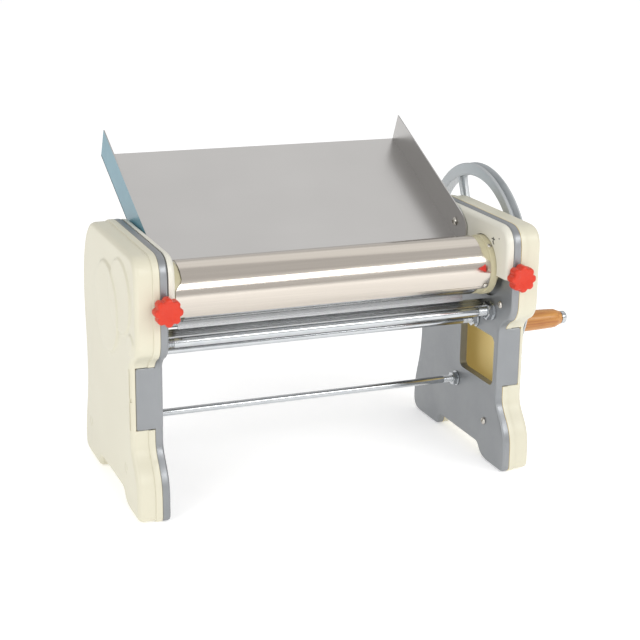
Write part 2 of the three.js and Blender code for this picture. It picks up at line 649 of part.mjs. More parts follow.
// ---- assembly ----
for (const side of ['left', 'right']) {
  const driven = side === 'right';
  putSide('side_frame', side, sideFrame(driven), 'cast');
  putSide('outer_cover', side, outerCover(driven), 'cream');
  putSide('inner_cover', side, innerCover(), 'cream');
  putSide('hopper_screw', side, hopperScrew(), 'zinc');
  putSide('head_cover_screw', side, coverScrew(...COVER_SCREWS[0]), 'zinc');
  putSide('front_leg_screw', side, coverScrew(...COVER_SCREWS[1]), 'zinc');
  putSide('rear_leg_screw', side, coverScrew(...COVER_SCREWS[2]), 'zinc');
  putSide('front_tie_nut', side, rodNut(FRONT_ROD), 'zinc');
  putSide('rear_tie_nut', side, rodNut(REAR_ROD), 'zinc');
  putSide('lower_tie_nut', side, rodNut(LOW_ROD), 'zinc');
  putSide('eccentric_sleeve', side, eccentricSleeve(), 'cream');
  putSide('sheet_screw', side, sheetScrew(), 'zinc');
  putSide('front_bush', side, bush(ROLL, JOURNAL_R + GAP, FRONT_BUSH_R, 145, 158.4), 'bronze');
  putSide('rear_bush', side, flangedBush(REAR, JOURNAL_R + GAP, REAR_BUSH_R, FACE, 158.4), 'bronze');
  putSide('lock_knob', side, lockKnob(), 'red');
  putSide('lock_stem', side, knobStem(), 'zinc');
  putSide('lock_pad', side, knobPad(), 'bronze');
}
put('hopper_tray', hopper(), 'steel');
put('front_tie_rod', tieRod(FRONT_ROD), 'zinc');
put('rear_tie_rod', tieRod(REAR_ROD), 'zinc');
put('lower_tie_rod', tieRod(LOW_ROD), 'zinc');
put('front_scraper', frontScraper(), 'steel');
put('rear_scraper', rearScraper(), 'steel');
put('roller_cover', coverSheet(), 'bright');
put('setting_pointer', pointer(), 'red');
put('front_roller', roller(ROLL, 160.4), 'bright');
put('rear_roller', roller(REAR, 169), 'bright');
put('front_roller_gear', rollerGear(ROLL, LINE), 'gear');
put('rear_roller_gear', rollerGear(REAR, LINE + Math.PI + Math.PI / ROLLER_TEETH), 'gear');
put('big_gear', bigGear(), 'gear');
put('drive_pinion', pinion(), 'gear');
put('drive_shaft', driveShaft(), 'zinc');
put('drive_bush', flangedBush(DRIVE, STUB_R + GAP, DRIVE_BUSH_R, FACE, RING_END), 'bronze');
put('hand_wheel', handWheel(), 'wheel');
put('wheel_nut', hexNut(DRIVE, 10, HUB_R + GAP, 200.5, 208.5), 'zinc');
put('crank_pin', crankPin(), 'zinc');
put('grip', grip(), 'wood');
put('grip_nut', gripNut(), 'zinc');

// The origin sits under the middle of the machine, on the table.
const bounds = new THREE.Box3().setFromObject(group);
const centre = bounds.getCenter(new THREE.Vector3());
for (const node of group.children) {
  node.geometry.translate(-centre.x, -centre.y, -bounds.min.z);
}

export default group;
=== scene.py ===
"""A hand-cranked dough roller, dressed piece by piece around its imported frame."""
import json
import math

import bmesh
import bpy
from mathutils import Matrix, Quaternion, Vector
from mathutils.geometry import delaunay_2d_cdt
from mathutils.kdtree import KDTree


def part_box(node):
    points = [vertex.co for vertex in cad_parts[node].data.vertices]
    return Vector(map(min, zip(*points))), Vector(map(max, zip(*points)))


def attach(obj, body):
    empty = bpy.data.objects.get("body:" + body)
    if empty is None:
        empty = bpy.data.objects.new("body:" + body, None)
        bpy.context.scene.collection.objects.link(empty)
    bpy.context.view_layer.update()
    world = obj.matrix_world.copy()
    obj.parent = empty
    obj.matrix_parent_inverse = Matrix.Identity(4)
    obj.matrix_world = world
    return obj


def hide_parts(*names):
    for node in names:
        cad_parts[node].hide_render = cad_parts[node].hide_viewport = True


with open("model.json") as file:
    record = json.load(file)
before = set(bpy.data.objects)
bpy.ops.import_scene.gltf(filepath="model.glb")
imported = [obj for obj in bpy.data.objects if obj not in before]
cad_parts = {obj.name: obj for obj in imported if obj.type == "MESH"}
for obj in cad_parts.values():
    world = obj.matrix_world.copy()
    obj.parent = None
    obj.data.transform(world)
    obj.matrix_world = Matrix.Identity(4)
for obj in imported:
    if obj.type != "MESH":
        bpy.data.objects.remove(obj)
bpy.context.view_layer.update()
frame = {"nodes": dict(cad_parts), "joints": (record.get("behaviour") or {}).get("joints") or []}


# ---- Side frames ----
# Two die-cast aluminium plates with a foot front and rear, a hand hold and a flange across the
# front notch. The casting is tumbled, which rounds its edges, and then painted silver-grey.
MM = 0.001
HEAD_FRONT = -77
frame_low, frame_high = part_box("right_side_frame")
MIDDLE = Vector((
    (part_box("left_side_frame")[0][0] + frame_high[0]) / 2,
    frame_low[1] - HEAD_FRONT * MM,
    0,
))


def local(place):
    """A point of the frame, in millimetres from the machine's middle line."""
    return (Vector(place) - MIDDLE) / MM


def centre_of(joint):
    """(y, z) of a joint's axis in those millimetres."""
    where = local(next(j["pos_m"] for j in frame["joints"] if j["name"] == joint))
    return Vector((where.y, where.z))


def outline(start, moves, steps=10):
    """Points along straight (one corner), quadratic (two) and cubic (three) moves."""
    points = [Vector(start)]
    for move in moves:
        corners = [points[-1]] + [Vector(corner) for corner in move]
        count = 1 if len(corners) == 2 else steps
        for i in range(1, count + 1):
            level = corners
            while len(level) > 1:
                level = [a.lerp(b, i / count) for a, b in zip(level, level[1:])]
            points.append(level[0])
    return points[:-1] if (points[0] - points[-1]).length < 1e-6 else points


def moved_in(points, distance):
    """An anticlockwise outline's points moved inwards, square to it."""
    moved = []
    for i, here in enumerate(points):
        before = (here - points[i - 1]).normalized()
        after = (points[(i + 1) % len(points)] - here).normalized()
        inward = Vector((-before.y - after.y, before.x + after.x)).normalized()
        lean = inward.dot(Vector((-after.y, after.x)))
        moved.append(here + inward * distance / max(0.5, lean))
    return moved


def skinned(rings, ends=True, loop=False):
    """A mesh through rings of equal point counts; a ring of one point closes to a tip."""
    skin = bmesh.new()
    rows = [[skin.verts.new(point) for point in ring] for ring in rings]
    pairs = list(zip(rows, rows[1:])) + ([(rows[-1], rows[0])] if loop else [])
    for a, b in pairs:
        for i in range(max(len(a), len(b))):
            corners = []
            for vert in (a[i % len(a)], a[(i + 1) % len(a)], b[(i + 1) % len(b)], b[i % len(b)]):
                if vert not in corners:
                    corners.append(vert)
            skin.faces.new(corners)
    if ends and not loop:
        for row in (rows[0], rows[-1]):
            if len(row) > 2:
                skin.faces.new(row)
    bmesh.ops.recalc_face_normals(skin, faces=skin.faces)
    mesh = bpy.data.meshes.new("work")
    skin.to_mesh(mesh)
    skin.free()
    return mesh


def slab(points, profile, along="X"):
    """A solid with one outline; the profile lists (inset, station) from one face to the other."""
    rings = []
    for inset, at in profile:
        ring = moved_in(points, inset)
        if along == "X":
            rings.append([(at, p.x, p.y) for p in ring])
        else:
            rings.append([(p.x, at, p.y) for p in ring])
    return skinned(rings)


def round_edge(at, radius, towards, steps=5):
    """Profile of a rounded edge that starts on the face at a station and turns towards the rim."""
    turns = [math.pi / 2 * i / steps for i in range(steps + 1)]
    return [(radius * (1 - math.sin(t)), at + towards * radius * (1 - math.cos(t))) for t in turns]


def plate(points, x0, x1, near, far, along="X"):
    """A slab with its edges rounded by the radii near and far."""
    profile = round_edge(x0, near, 1) + round_edge(x1, far, -1)[::-1]
    return slab(points, profile, along)


def rounded_rectangle(a0, b0, a1, b1, radius, steps=6):
    points = []
    corners = ((a1, b1, -1, -1, 0), (a0, b1, 1, -1, 90), (a0, b0, 1, 1, 180), (a1, b0, -1, 1, 270))
    for a, b, da, db, start in corners:
        for i in range(steps + 1):
            turn = math.radians(start + 90 * i / steps)
            points.append(Vector((
                a + da * radius + radius * math.cos(turn),
                b + db * radius + radius * math.sin(turn),
            )))
    return points


def turned(profile, centre, axis="X", steps=72, loop=False):
    """(radius, station) points turned about a line along X or Y through a centre."""
    rings = []
    for radius, at in profile:
        ring = []
        for i in range(steps if radius > 1e-6 else 1):
            turn = 2 * math.pi * i / steps
            a = centre[0] + radius * math.cos(turn)
            b = centre[1] + radius * math.sin(turn)
            ring.append((at, a, b) if axis == "X" else (a, at, b))
        rings.append(ring)
    return skinned(rings, ends=True, loop=loop)


def plug(radius, start, end, centre, axis="X", steps=72):
    """A plain round solid: a boss, or the cutter of a bore."""
    return turned([(0, start), (radius, start), (radius, end), (0, end)], centre, axis, steps)


def worked(mesh, kind, **settings):
    """The mesh after one modifier; a mesh among the settings becomes the modifier's object."""
    holder = bpy.data.objects.new("work", mesh)
    bpy.context.collection.objects.link(holder)
    tool = holder.modifiers.new("work", kind)
    cutters = []
    for name, value in settings.items():
        if isinstance(value, bpy.types.Mesh):
            value = bpy.data.objects.new("cutter", value)
            bpy.context.collection.objects.link(value)
            cutters.append(value)
        setattr(tool, name, value)
    ready = holder.evaluated_get(bpy.context.evaluated_depsgraph_get())
    result = bpy.data.meshes.new_from_object(ready)
    for used in [holder] + cutters:
        bpy.data.objects.remove(used)
    return result


def cut(mesh, *cutters):
    for cutter in cutters:
        mesh = worked(mesh, "BOOLEAN", operation="DIFFERENCE", solver="EXACT", object=cutter)
    return mesh


def fused(mesh, *others):
    for other in others:
        mesh = worked(mesh, "BOOLEAN", operation="UNION", solver="EXACT", object=other)
    return mesh


def broken_edges(mesh, width, segments=2, angle=38):
    """Small rounds on the sharp edges that moulding, casting or deburring leaves."""
    return worked(
        mesh, "BEVEL", width=width, segments=segments, limit_method="ANGLE",
        angle_limit=math.radians(angle), use_clamp_overlap=True, loop_slide=False,
    )


def mirrored(mesh):
    """A copy for the other side of the machine, with its faces turned out again."""
    other = mesh.copy()
    other.transform(Matrix.Diagonal((-1, 1, 1, 1)))
    other.flip_normals()
    return other


def piece(name, mesh, finish, body, slot, *nodes, angle=40):
    """Moves a mesh drawn in millimetres into its place, hangs it on its body and hides the parts that it
    stands for.
    """
    mesh.transform(Matrix.Translation(MIDDLE) @ Matrix.Scale(MM, 4))
    mesh.name = name
    if len(mesh.materials) == 0:
        mesh.materials.append(finish)
    mesh.polygons.foreach_set("use_smooth", [True] * len(mesh.polygons))
    mesh.set_sharp_from_angle(angle=math.radians(angle))
    made = bpy.data.objects.new(name, mesh)
    bpy.context.collection.objects.link(made)
    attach(made, body)
    if nodes:
        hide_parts(*nodes)
    return made


def add(tree, kind, inputs=None, **settings):
    """A node with its settings; an input takes a value or another node's output."""
    made = tree.nodes.new(kind)
    for name, value in settings.items():
        setattr(made, name, value)
    for key, value in (inputs or {}).items():
        if isinstance(value, bpy.types.NodeSocket):
            tree.links.new(value, made.inputs[key])
        else:
            made.inputs[key].default_value = value
    return made


def colour(code):
    """Linear RGBA of an sRGB hex code."""
    parts = [int(code[i:i + 2], 16) / 255 for i in (1, 3, 5)]
    return [c / 12.92 if c <= 0.04045 else ((c + 0.055) / 1.055) ** 2.4 for c in parts] + [1]


def blank(name, **constants):
    """A new material, its tree, its shader and the piece's own coordinates."""
    made = bpy.data.materials.new(name)
    made.use_nodes = True
    tree = made.node_tree
    shader = tree.nodes["Principled BSDF"]
    for key, value in constants.items():
        shader.inputs[key.replace("_", " ")].default_value = value
    where = add(tree, "ShaderNodeTexCoord").outputs["Object"]
    return made, tree, shader, where


def per_mm(size):
    """Noise scale that gives features of a size in millimetres."""
    return 1 / (size * MM)


def tinted(tree, shader, pattern, dark, light):
    """Runs the shader's colour from dark to light over a pattern."""
    tone = add(tree, "ShaderNodeMix", {
        0: pattern.outputs["Fac"], 6: colour(dark), 7: colour(light),
    }, data_type="RGBA")
    tree.links.new(tone.outputs[2], shader.inputs["Base Color"])


def roughened(tree, shader, pattern, least, most):
    """Runs the shader's roughness between two values over a pattern."""
    gloss = add(tree, "ShaderNodeMapRange", {0: pattern.outputs["Fac"], 3: least, 4: most})
    tree.links.new(gloss.outputs[0], shader.inputs["Roughness"])


def raised(tree, shader, pattern, strength, height):
    """Bumps the surface by a pattern, to a height in millimetres."""
    bump = add(tree, "ShaderNodeBump", {
        "Strength": strength, "Distance": height * MM, "Height": pattern.outputs["Fac"],
    })
    tree.links.new(bump.outputs[0], shader.inputs["Normal"])


# Die-cast aluminium under silver-grey stoving paint: a soft metallic sheen, a faint orange peel
# about 1.5 mm across, and broad patches where the paint lies a little thicker.
painted_casting, tree, shader, where = blank("painted_die_cast_aluminium", Metallic=0.7)
patches = add(tree, "ShaderNodeTexNoise", {"Vector": where, "Scale": per_mm(45), "Detail": 3.0})
tinted(tree, shader, patches, "#888B8E", "#9B9D9F")
grain = add(tree, "ShaderNodeTexNoise", {"Vector": where, "Scale": per_mm(6), "Detail": 4.0})
roughened(tree, shader, grain, 0.32, 0.46)
peel = add(tree, "ShaderNodeTexNoise", {"Vector": where, "Scale": per_mm(1.5), "Detail": 2.0})
raised(tree, shader, peel, 0.25, 0.12)

FACE = 147
SEAM = 153.5
side_outline = outline((-69, 0), [
    [(-46, 0)],
    [(-34, 0), (-29, 7)],
    [(-26.5, 11), (-22, 11)],
    [(44, 11)],
    [(49, 11), (50.5, 6)],
    [(52, 0), (57, 0)],
    [(92, 0)],
    [(105, 0), (105, 13)],
    [(105, 40), (94, 48), (93, 78)],
    [(92, 108), (98, 122), (98, 150)],
    [(98, 186), (82, 216), (54, 216)],
    [(-58, 216)],
    [(-77, 216), (HEAD_FRONT, 196)],
    [(HEAD_FRONT, 150)],
    [(-77, 140), (-70, 134.5)],
    [(-57, 128), (-57, 120)],
    [(-57, 62)],
    [(-57, 48), (-75, 44), (-75, 20)],
    [(-75, 6)],
    [(-75, 0), (-69, 0)],
])
PANEL_OUT = 168.5
PANEL_LOW = 72
PANEL_HIGH = 123.6
WINDOW = (-50, 70.5, 12, 114.5)
rear_axis = centre_of("rear_roller_spin")
sleeve_axis = centre_of("gap_adjust")
front_axis = centre_of("front_roller_spin")
drive_axis = centre_of("wheel_spin")
knob_x, _, knob_z = local(next(j["pos_m"] for j in frame["joints"] if j["name"] == "right_knob_turn"))


def rod_at(node):
    """(y, z) and radius of a tie rod."""
    low, high = (local(corner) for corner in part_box(node))
    return (low.y + high.y) / 2, (low.z + high.z) / 2, (high.z - low.z) / 2


RODS = {name: rod_at(name) for name in ("front_tie_rod", "rear_tie_rod", "lower_tie_rod")}


def side_plate(driven):
    panel = rounded_rectangle(FACE, PANEL_LOW, PANEL_OUT, PANEL_HIGH, 2)
    plate_mesh = fused(
        plate(side_outline, FACE, SEAM, 2.2, 0.4),
        plate(panel, -57, -53.4, 1.4, 0.4, along="Y"),
        plug(22, 148, 159, sleeve_axis),
        plug(17, 148, 159, rear_axis),
        *([plug(13.5, 148, 159, drive_axis)] if driven else []),
    )
    plate_mesh = fused(
        cut(plate_mesh, plug(27.4, 140, FACE + 2.6, sleeve_axis)),
        plug(6.5, -76.6, -52, (knob_x, knob_z), "Y", 32),
    )
    holes = [
        (17.3, sleeve_axis), (12.3, rear_axis),
        *((rod[2] + 0.3, rod[:2]) for rod in RODS.values()),
        *([(9.3, drive_axis)] if driven else []),
    ]
    plate_mesh = cut(
        plate_mesh,
        slab(rounded_rectangle(*WINDOW, 6), [(0, FACE - 3), (0, SEAM + 3)]),
        plug(4.3, -80, -48, (knob_x, knob_z), "Y", 32),
        *(plug(r, 140, 165, place, steps=48) for r, place in holes),
    )
    return broken_edges(plate_mesh, 0.7)


piece("right_frame_casting", side_plate(True), painted_casting, "frame", "cast_frame", "right_side_frame")
piece("left_frame_casting", mirrored(side_plate(False)), painted_casting, "frame", "cast_frame",
      "left_side_frame")


# ---- Tie rods and their nuts ----
# Three bright zinc plated steel rods hold the side frames apart. Rolled threads at both ends carry
# a nut against the inside of each frame.
bright_zinc, tree, shader, where = blank("bright_zinc_plated_steel", Metallic=1.0)
# Zinc plating shows a slightly blue grey with a soft mottle about 9 mm across.
mottle = add(tree, "ShaderNodeTexNoise", {"Vector": where, "Scale": per_mm(9), "Detail": 2.0})
tinted(tree, shader, mottle, "#BCC0C4", "#D2D4D5")
roughened(tree, shader, mottle, 0.13, 0.22)


def geometry_tree(name, output, **inputs):
    """An empty Geometry Nodes tree, and the outputs of its named inputs."""
    tree = bpy.data.node_groups.new(name, "GeometryNodeTree")
    for label, kind in inputs.items():
        tree.interface.new_socket(label, in_out="INPUT", socket_type="NodeSocket" + kind)
    tree.interface.new_socket(output, in_out="OUTPUT", socket_type="NodeSocketGeometry")
    return tree, add(tree, "NodeGroupInput").outputs


# The ridges of a rolled thread: one ring for each turn of the thread, set along the rod.
thread, given = geometry_tree(
    "rolled_thread", "Threaded", Rod="Geometry", Radius="Float", Pitch="Float", Turns="Int", Start="Vector",
    Finish="Material",
)
step = add(thread, "ShaderNodeCombineXYZ", {"X": given["Pitch"]})
line = add(
    thread, "GeometryNodeMeshLine",
    {"Count": given["Turns"], "Start Location": given["Start"], "Offset": step.outputs[0]}, mode="OFFSET",
)
round_path = add(thread, "GeometryNodeCurvePrimitiveCircle", {"Resolution": 32, "Radius": given["Radius"]})
half_pitch = add(thread, "ShaderNodeMath", {0: given["Pitch"], 1: 0.42}, operation="MULTIPLY")
ridge = add(thread, "GeometryNodeCurvePrimitiveCircle", {"Resolution": 4, "Radius": half_pitch.outputs[0]})
ring = add(
    thread, "GeometryNodeCurveToMesh",
    {"Curve": round_path.outputs["Curve"], "Profile Curve": ridge.outputs["Curve"]},
)
turns = add(
    thread, "GeometryNodeInstanceOnPoints",
    {"Points": line.outputs[0], "Instance": ring.outputs[0], "Rotation": (0, math.pi / 2, 0)},
)
both = add(thread, "GeometryNodeJoinGeometry")
thread.links.new(given["Rod"], both.inputs[0])
thread.links.new(turns.outputs[0], both.inputs[0])
plain = add(thread, "GeometryNodeRealizeInstances", {"Geometry": both.outputs[0]})
painted = add(thread, "GeometryNodeSetMaterial", {"Geometry": plain.outputs[0], "Material": given["Finish"]})
add(thread, "NodeGroupOutput", {"Threaded": painted.outputs[0]})


def grown(mesh, nodes, **values):
    """The plain mesh that a node tree makes of a mesh, with its named inputs set."""
    holder = bpy.data.objects.new("work", mesh)
    bpy.context.collection.objects.link(holder)
    tool = holder.modifiers.new("work", "NODES")
    tool.node_group = nodes
    for socket in nodes.interface.items_tree:
        if socket.in_out == "INPUT" and socket.name in values:
            tool[socket.identifier] = values[socket.name]
    ready = holder.evaluated_get(bpy.context.evaluated_depsgraph_get())
    result = bpy.data.meshes.new_from_object(ready)
    bpy.data.objects.remove(holder)
    return result


ROD_END = 156.5
THREAD_FROM = 133
PITCH = 1.25
for name, (y, z, radius) in RODS.items():
    core = radius - 0.55
    rod = turned([
        (0, -ROD_END), (core - 0.5, -ROD_END), (core, -ROD_END + 0.7), (core, -THREAD_FROM - 1),
        (radius - 0.05, -THREAD_FROM + 0.4), (radius - 0.05, THREAD_FROM - 0.4), (core, THREAD_FROM + 1),
        (core, ROD_END - 0.7), (core - 0.5, ROD_END), (0, ROD_END),
    ], (y, z), steps=40)
    for start in (THREAD_FROM + 1.2, -ROD_END + 1):
        rod = grown(
            rod, thread, Radius=core - 0.04, Pitch=PITCH, Turns=18, Start=(start, y, z), Finish=bright_zinc,
        )
    piece(f"threaded_{name}", rod, bright_zinc, "frame", "zinc_steel", name)

# A nut of unit thread radius: a hexagon chamfered by turning, on a small washer.
CORNERS = 1.95
hexagon = [Vector((CORNERS * math.cos(a), CORNERS * math.sin(a)))
           for a in (math.pi / 3 * i + 0.2 for i in range(6))]
blunt = turned([
    (0, -1.6), (1.62, -1.6), (2.0, -1.38), (2.0, -0.22), (2.0, 0.0), (0, 0.0),
], (0, 0), steps=48)
nut = slab(hexagon, [(0, -1.62), (0, -0.2)])
nut = worked(nut, "BOOLEAN", operation="INTERSECT", solver="EXACT", object=blunt)
nut = cut(nut, plug(1.0, -3, 1, (0, 0), steps=32))
washer = turned([(1.02, -0.24), (2.05, -0.24), (2.05, 0), (1.02, 0)], (0, 0), steps=40, loop=True)
nut = fused(nut, washer)

# Sets one piece of hardware on every point, turned and sized by the point's own values.
hardware, given = geometry_tree(
    "set_hardware", "Fitted", Places="Geometry", Part="Object", Finish="Material",
)
part = add(hardware, "GeometryNodeObjectInfo", {"Object": given["Part"]})
turn = add(hardware, "GeometryNodeInputNamedAttribute", {"Name": "turn"}, data_type="FLOAT_VECTOR")
size = add(hardware, "GeometryNodeInputNamedAttribute", {"Name": "size"}, data_type="FLOAT")
set_down = add(hardware, "GeometryNodeInstanceOnPoints", {
    "Points": given["Places"], "Instance": part.outputs["Geometry"],
    "Rotation": turn.outputs["Attribute"], "Scale": size.outputs["Attribute"],
})
plain = add(hardware, "GeometryNodeRealizeInstances", {"Geometry": set_down.outputs[0]})
painted = add(hardware, "GeometryNodeSetMaterial", {
    "Geometry": plain.outputs[0], "Material": given["Finish"],
})
add(hardware, "NodeGroupOutput", {"Fitted": painted.outputs[0]})


def fitted(part_mesh, places, finish):
    """One mesh of copies of a part, at places of (point, way its head faces, spin, size)."""
    points = bpy.data.meshes.new("places")
    points.from_pydata([place[0] for place in places], [], [])
    facing = [Vector(place[1]).to_track_quat("-X", "Z") @ Quaternion((1, 0, 0), place[2]) for place in places]
    turns = points.attributes.new("turn", "FLOAT_VECTOR", "POINT")
    turns.data.foreach_set("vector", [angle for way in facing for angle in way.to_euler()])
    sizes = points.attributes.new("size", "FLOAT", "POINT")
    sizes.data.foreach_set("value", [place[3] for place in places])
    part_object = bpy.data.objects.new("part", part_mesh)
    bpy.context.collection.objects.link(part_object)
    made = grown(points, hardware, Part=part_object, Finish=finish)
    bpy.data.objects.remove(part_object)
    return made


seat = FACE - 0.3
nut_places = [((sign * seat, y, z), (-sign, 0, 0), 0.3 * i, radius)
              for sign in (1, -1) for i, (y, z, radius) in enumerate(RODS.values())]
tie_nuts = [f"{side}_{name.replace('rod', 'nut')}" for side in ("left", "right") for name in RODS]
piece("tie_rod_nuts", fitted(nut, nut_places, bright_zinc), bright_zinc, "frame", "zinc_steel",
      *tie_nuts, angle=25)


# ---- Rollers ----
# Two steel rollers, ground round and then plated, each on its own journals. The grinding leaves
# fine rings round them, drawn here about 0.8 mm apart so that they show.
ground_steel, tree, shader, where = blank("ground_plated_steel", Metallic=1.0)
shader.inputs["Base Color"].default_value = colour("#B9BABA")
rings = add(tree, "ShaderNodeMapping", {"Vector": where, "Scale": (per_mm(0.8), per_mm(60), per_mm(60))})
lines = add(tree, "ShaderNodeTexNoise", {"Vector": rings.outputs[0], "Scale": 1.0, "Detail": 3.0})
roughened(tree, shader, lines, 0.12, 0.32)

ROLLER_R = 22.8
ROLLER_HALF = 127


def roller(axis, right_end):
    return turned([
        (0, -169), (7, -169), (7, -159.6), (9, -159.6), (9, -ROLLER_HALF), (22, -ROLLER_HALF),
        (22.6, -126.8), (ROLLER_R, -126.2), (ROLLER_R, 126.2), (22.6, 126.8), (22, ROLLER_HALF),
        (9, ROLLER_HALF), (9, 159.6), (7, 159.6), (7, right_end), (0, right_end),
    ], axis, steps=96)


piece("front_ground_roller", roller(front_axis, 160.4), ground_steel, "front_roller", "roller_face",
      "front_roller")
piece("rear_ground_roller", roller(rear_axis, 169), ground_steel, "rear_roller", "roller_face", "rear_roller")


# ---- Bearings, gears and shaft ----
# The bushes are sintered bronze that holds oil, the gears cut steel with grease between the teeth,
# and the shaft is plated like the rods. They sit inside the covers and keep their own shapes.
sintered_bronze, tree, shader, where = blank("sintered_bronze", Metallic=1.0)
pores = add(tree, "ShaderNodeTexNoise", {"Vector": where, "Scale": per_mm(0.9), "Detail": 4.0})
tinted(tree, shader, pores, "#7B5A30", "#B58A4E")
roughened(tree, shader, pores, 0.28, 0.5)

# Cut steel: dark grey flanks, wet with grease in patches about 8 mm across.
greased_steel, tree, shader, where = blank("cut_steel_with_grease", Metallic=0.9)
smears = add(tree, "ShaderNodeTexNoise", {"Vector": where, "Scale": per_mm(8), "Detail": 4.0})
tinted(tree, shader, smears, "#4E4F50", "#8C8E90")
roughened(tree, shader, smears, 0.15, 0.5)


def refinish(finish, *names):
    """A new finish on solids that keep their own shape."""
    for name in names:
        kept = frame["nodes"][name]
        for holder in kept.material_slots:
            holder.material = finish


refinish(sintered_bronze, "left_front_bush", "right_front_bush", "left_rear_bush", "right_rear_bush",
         "drive_bush", "left_lock_pad", "right_lock_pad")
refinish(greased_steel, "front_roller_gear", "rear_roller_gear", "big_gear", "drive_pinion")
refinish(bright_zinc, "drive_shaft", "left_lock_stem", "right_lock_stem")


# ---- Scrapers ----
# Two strips of stainless spring steel, folded along their length and let into the frames, that
# lift the dough off the rollers. Rolling leaves fine lines along the strip.
spring_strip, tree, shader, where = blank("rolled_stainless_strip", Metallic=1.0)
shader.inputs["Base Color"].default_value = colour("#C2C3C4")
drawn = add(tree, "ShaderNodeMapping", {"Vector": where, "Scale": (per_mm(80), per_mm(1), per_mm(1))})
lines = add(tree, "ShaderNodeTexNoise", {"Vector": drawn.outputs[0], "Scale": 1.0, "Detail": 3.0})
roughened(tree, shader, lines, 0.18, 0.36)
refinish(spring_strip, "front_scraper", "rear_scraper")


# ---- Gap adjuster: end discs ----
# Each end of the front roller runs in a moulded nylon sleeve whose bore is off centre. Its disc
# shows between the sheet cover and the inner cover, and a small screw locks the setting.
moulded_nylon, tree, shader, where = blank("moulded_cream_nylon", Roughness=0.34, IOR=1.53)
cloud = add(tree, "ShaderNodeTexNoise", {"Vector": where, "Scale": per_mm(14), "Detail": 2.0})
tinted(tree, shader, cloud, "#BDB594", "#C9C2A4")

DISC_R = 25.3
BORE_R = 11.45
sleeve = turned([
    (0, 129.2), (23.4, 129.2), (24.2, 130), (24.2, 136.2), (24.9, 136.4), (DISC_R, 136.8), (DISC_R, 142.8),
    (24.9, 143.2), (17, 143.2), (17, 158), (16.6, 158.4), (0, 158.4),
], sleeve_axis, steps=96)
sleeve = cut(sleeve, plug(BORE_R, 120, 165, front_axis, steps=64))
piece("right_end_disc", sleeve.copy(), moulded_nylon, "adjuster", "end_disc", "right_eccentric_sleeve")
piece("left_end_disc", mirrored(sleeve), moulded_nylon, "adjuster", "end_disc", "left_eccentric_sleeve")


# ---- Gap adjuster: sheet cover ----
# One sheet of stainless steel, rolled to the disc's radius and polished along its length, is the
# cover and the handle that turns both sleeves. Its ends are notched clear of the inner covers.
polished_sheet, tree, shader, where = blank("polished_stainless_sheet", Metallic=1.0)
drawn = add(tree, "ShaderNodeMapping", {"Vector": where, "Scale": (per_mm(140), per_mm(2), per_mm(2))})
lines = add(tree, "ShaderNodeTexNoise", {"Vector": drawn.outputs[0], "Scale": 1.0, "Detail": 4.0})
tinted(tree, shader, lines, "#C6BEB4", "#D6CEC4")
roughened(tree, shader, lines, 0.1, 0.22)
waves = add(tree, "ShaderNodeMapping", {"Vector": where, "Scale": (per_mm(90), per_mm(9), per_mm(9))})
ripple = add(tree, "ShaderNodeTexNoise", {"Vector": waves.outputs[0], "Scale": 1.0, "Detail": 1.0})
raised(tree, shader, ripple, 0.2, 0.3)

SHEET_HALF = 135.9
SHEET_FROM = 80
SHEET_TO = 218
SHEET_STEPS = 90


def on_sleeve(radius, degrees):
    """A point at an angle about the sleeves' axis."""
    turn = math.radians(degrees)
    return sleeve_axis + Vector((radius * math.cos(turn), radius * math.sin(turn)))


angles = [SHEET_FROM + (SHEET_TO - SHEET_FROM) * i / SHEET_STEPS for i in range(SHEET_STEPS + 1)]
arc = [on_sleeve(DISC_R, a) for a in angles] + [on_sleeve(DISC_R - 0.8, a) for a in reversed(angles)]
cover = slab(arc, [(0, -SHEET_HALF), (0, SHEET_HALF)])
notch = [(129.6, 212), (129.6, 191), (130.6, 188.6), (136.4, 182.4), (138, 182.4), (138, 212)]
corner = [(132.6, 150), (132.6, 159.2), (135.2, 162.6), (138, 162.6), (138, 150)]
for sign in (1, -1):
    cover = cut(
        cover,
        slab([Vector((sign * x, z)) for x, z in notch][::-sign], [(0, -60), (0, 10)], along="Y"),
        slab([Vector((sign * x, z)) for x, z in corner][::sign], [(0, -62), (0, -40)], along="Y"),
    )
piece("polished_roller_cover", broken_edges(cover, 0.15, 1), polished_sheet, "adjuster", "polished_cover",
      "roller_cover", angle=30)

# The red pointer is a stamped triangle that follows the sheet's curve.
red_vinyl, tree, shader, where = blank("red_vinyl", Roughness=0.4, IOR=1.5)
speck = add(tree, "ShaderNodeTexNoise", {"Vector": where, "Scale": per_mm(1.2), "Detail": 2.0})
tinted(tree, shader, speck, "#B82216", "#CC3022")
POINTER_AT = 172
TIP_X = 124.6
BASE_X = 131
rings = []
for i in range(9):
    half = math.degrees((0.15 + 3.05 * i / 8) / DISC_R)
    spread = [POINTER_AT - half + half * j / 3 for j in range(7)]
    section = ([on_sleeve(DISC_R + 0.8, a) for a in spread]
               + [on_sleeve(DISC_R + 0.32, a) for a in reversed(spread)])
    rings.append([(TIP_X + (BASE_X - TIP_X) * i / 8, p.x, p.y) for p in section])
piece("red_pointer", skinned(rings), red_vinyl, "adjuster", "red_mark", "setting_pointer")


# ---- Screws ----
# Nickel plated pan-head screws with a cross recess: two hold the hopper, six the covers, and small
# ones fix the sheet cover and lock its discs.
nickel, tree, shader, where = blank("nickel_plated_steel", Metallic=1.0)
shader.inputs["Base Color"].default_value = colour("#C4C0B8")
haze = add(tree, "ShaderNodeTexNoise", {"Vector": where, "Scale": per_mm(1.1), "Detail": 3.0})
roughened(tree, shader, haze, 0.14, 0.34)

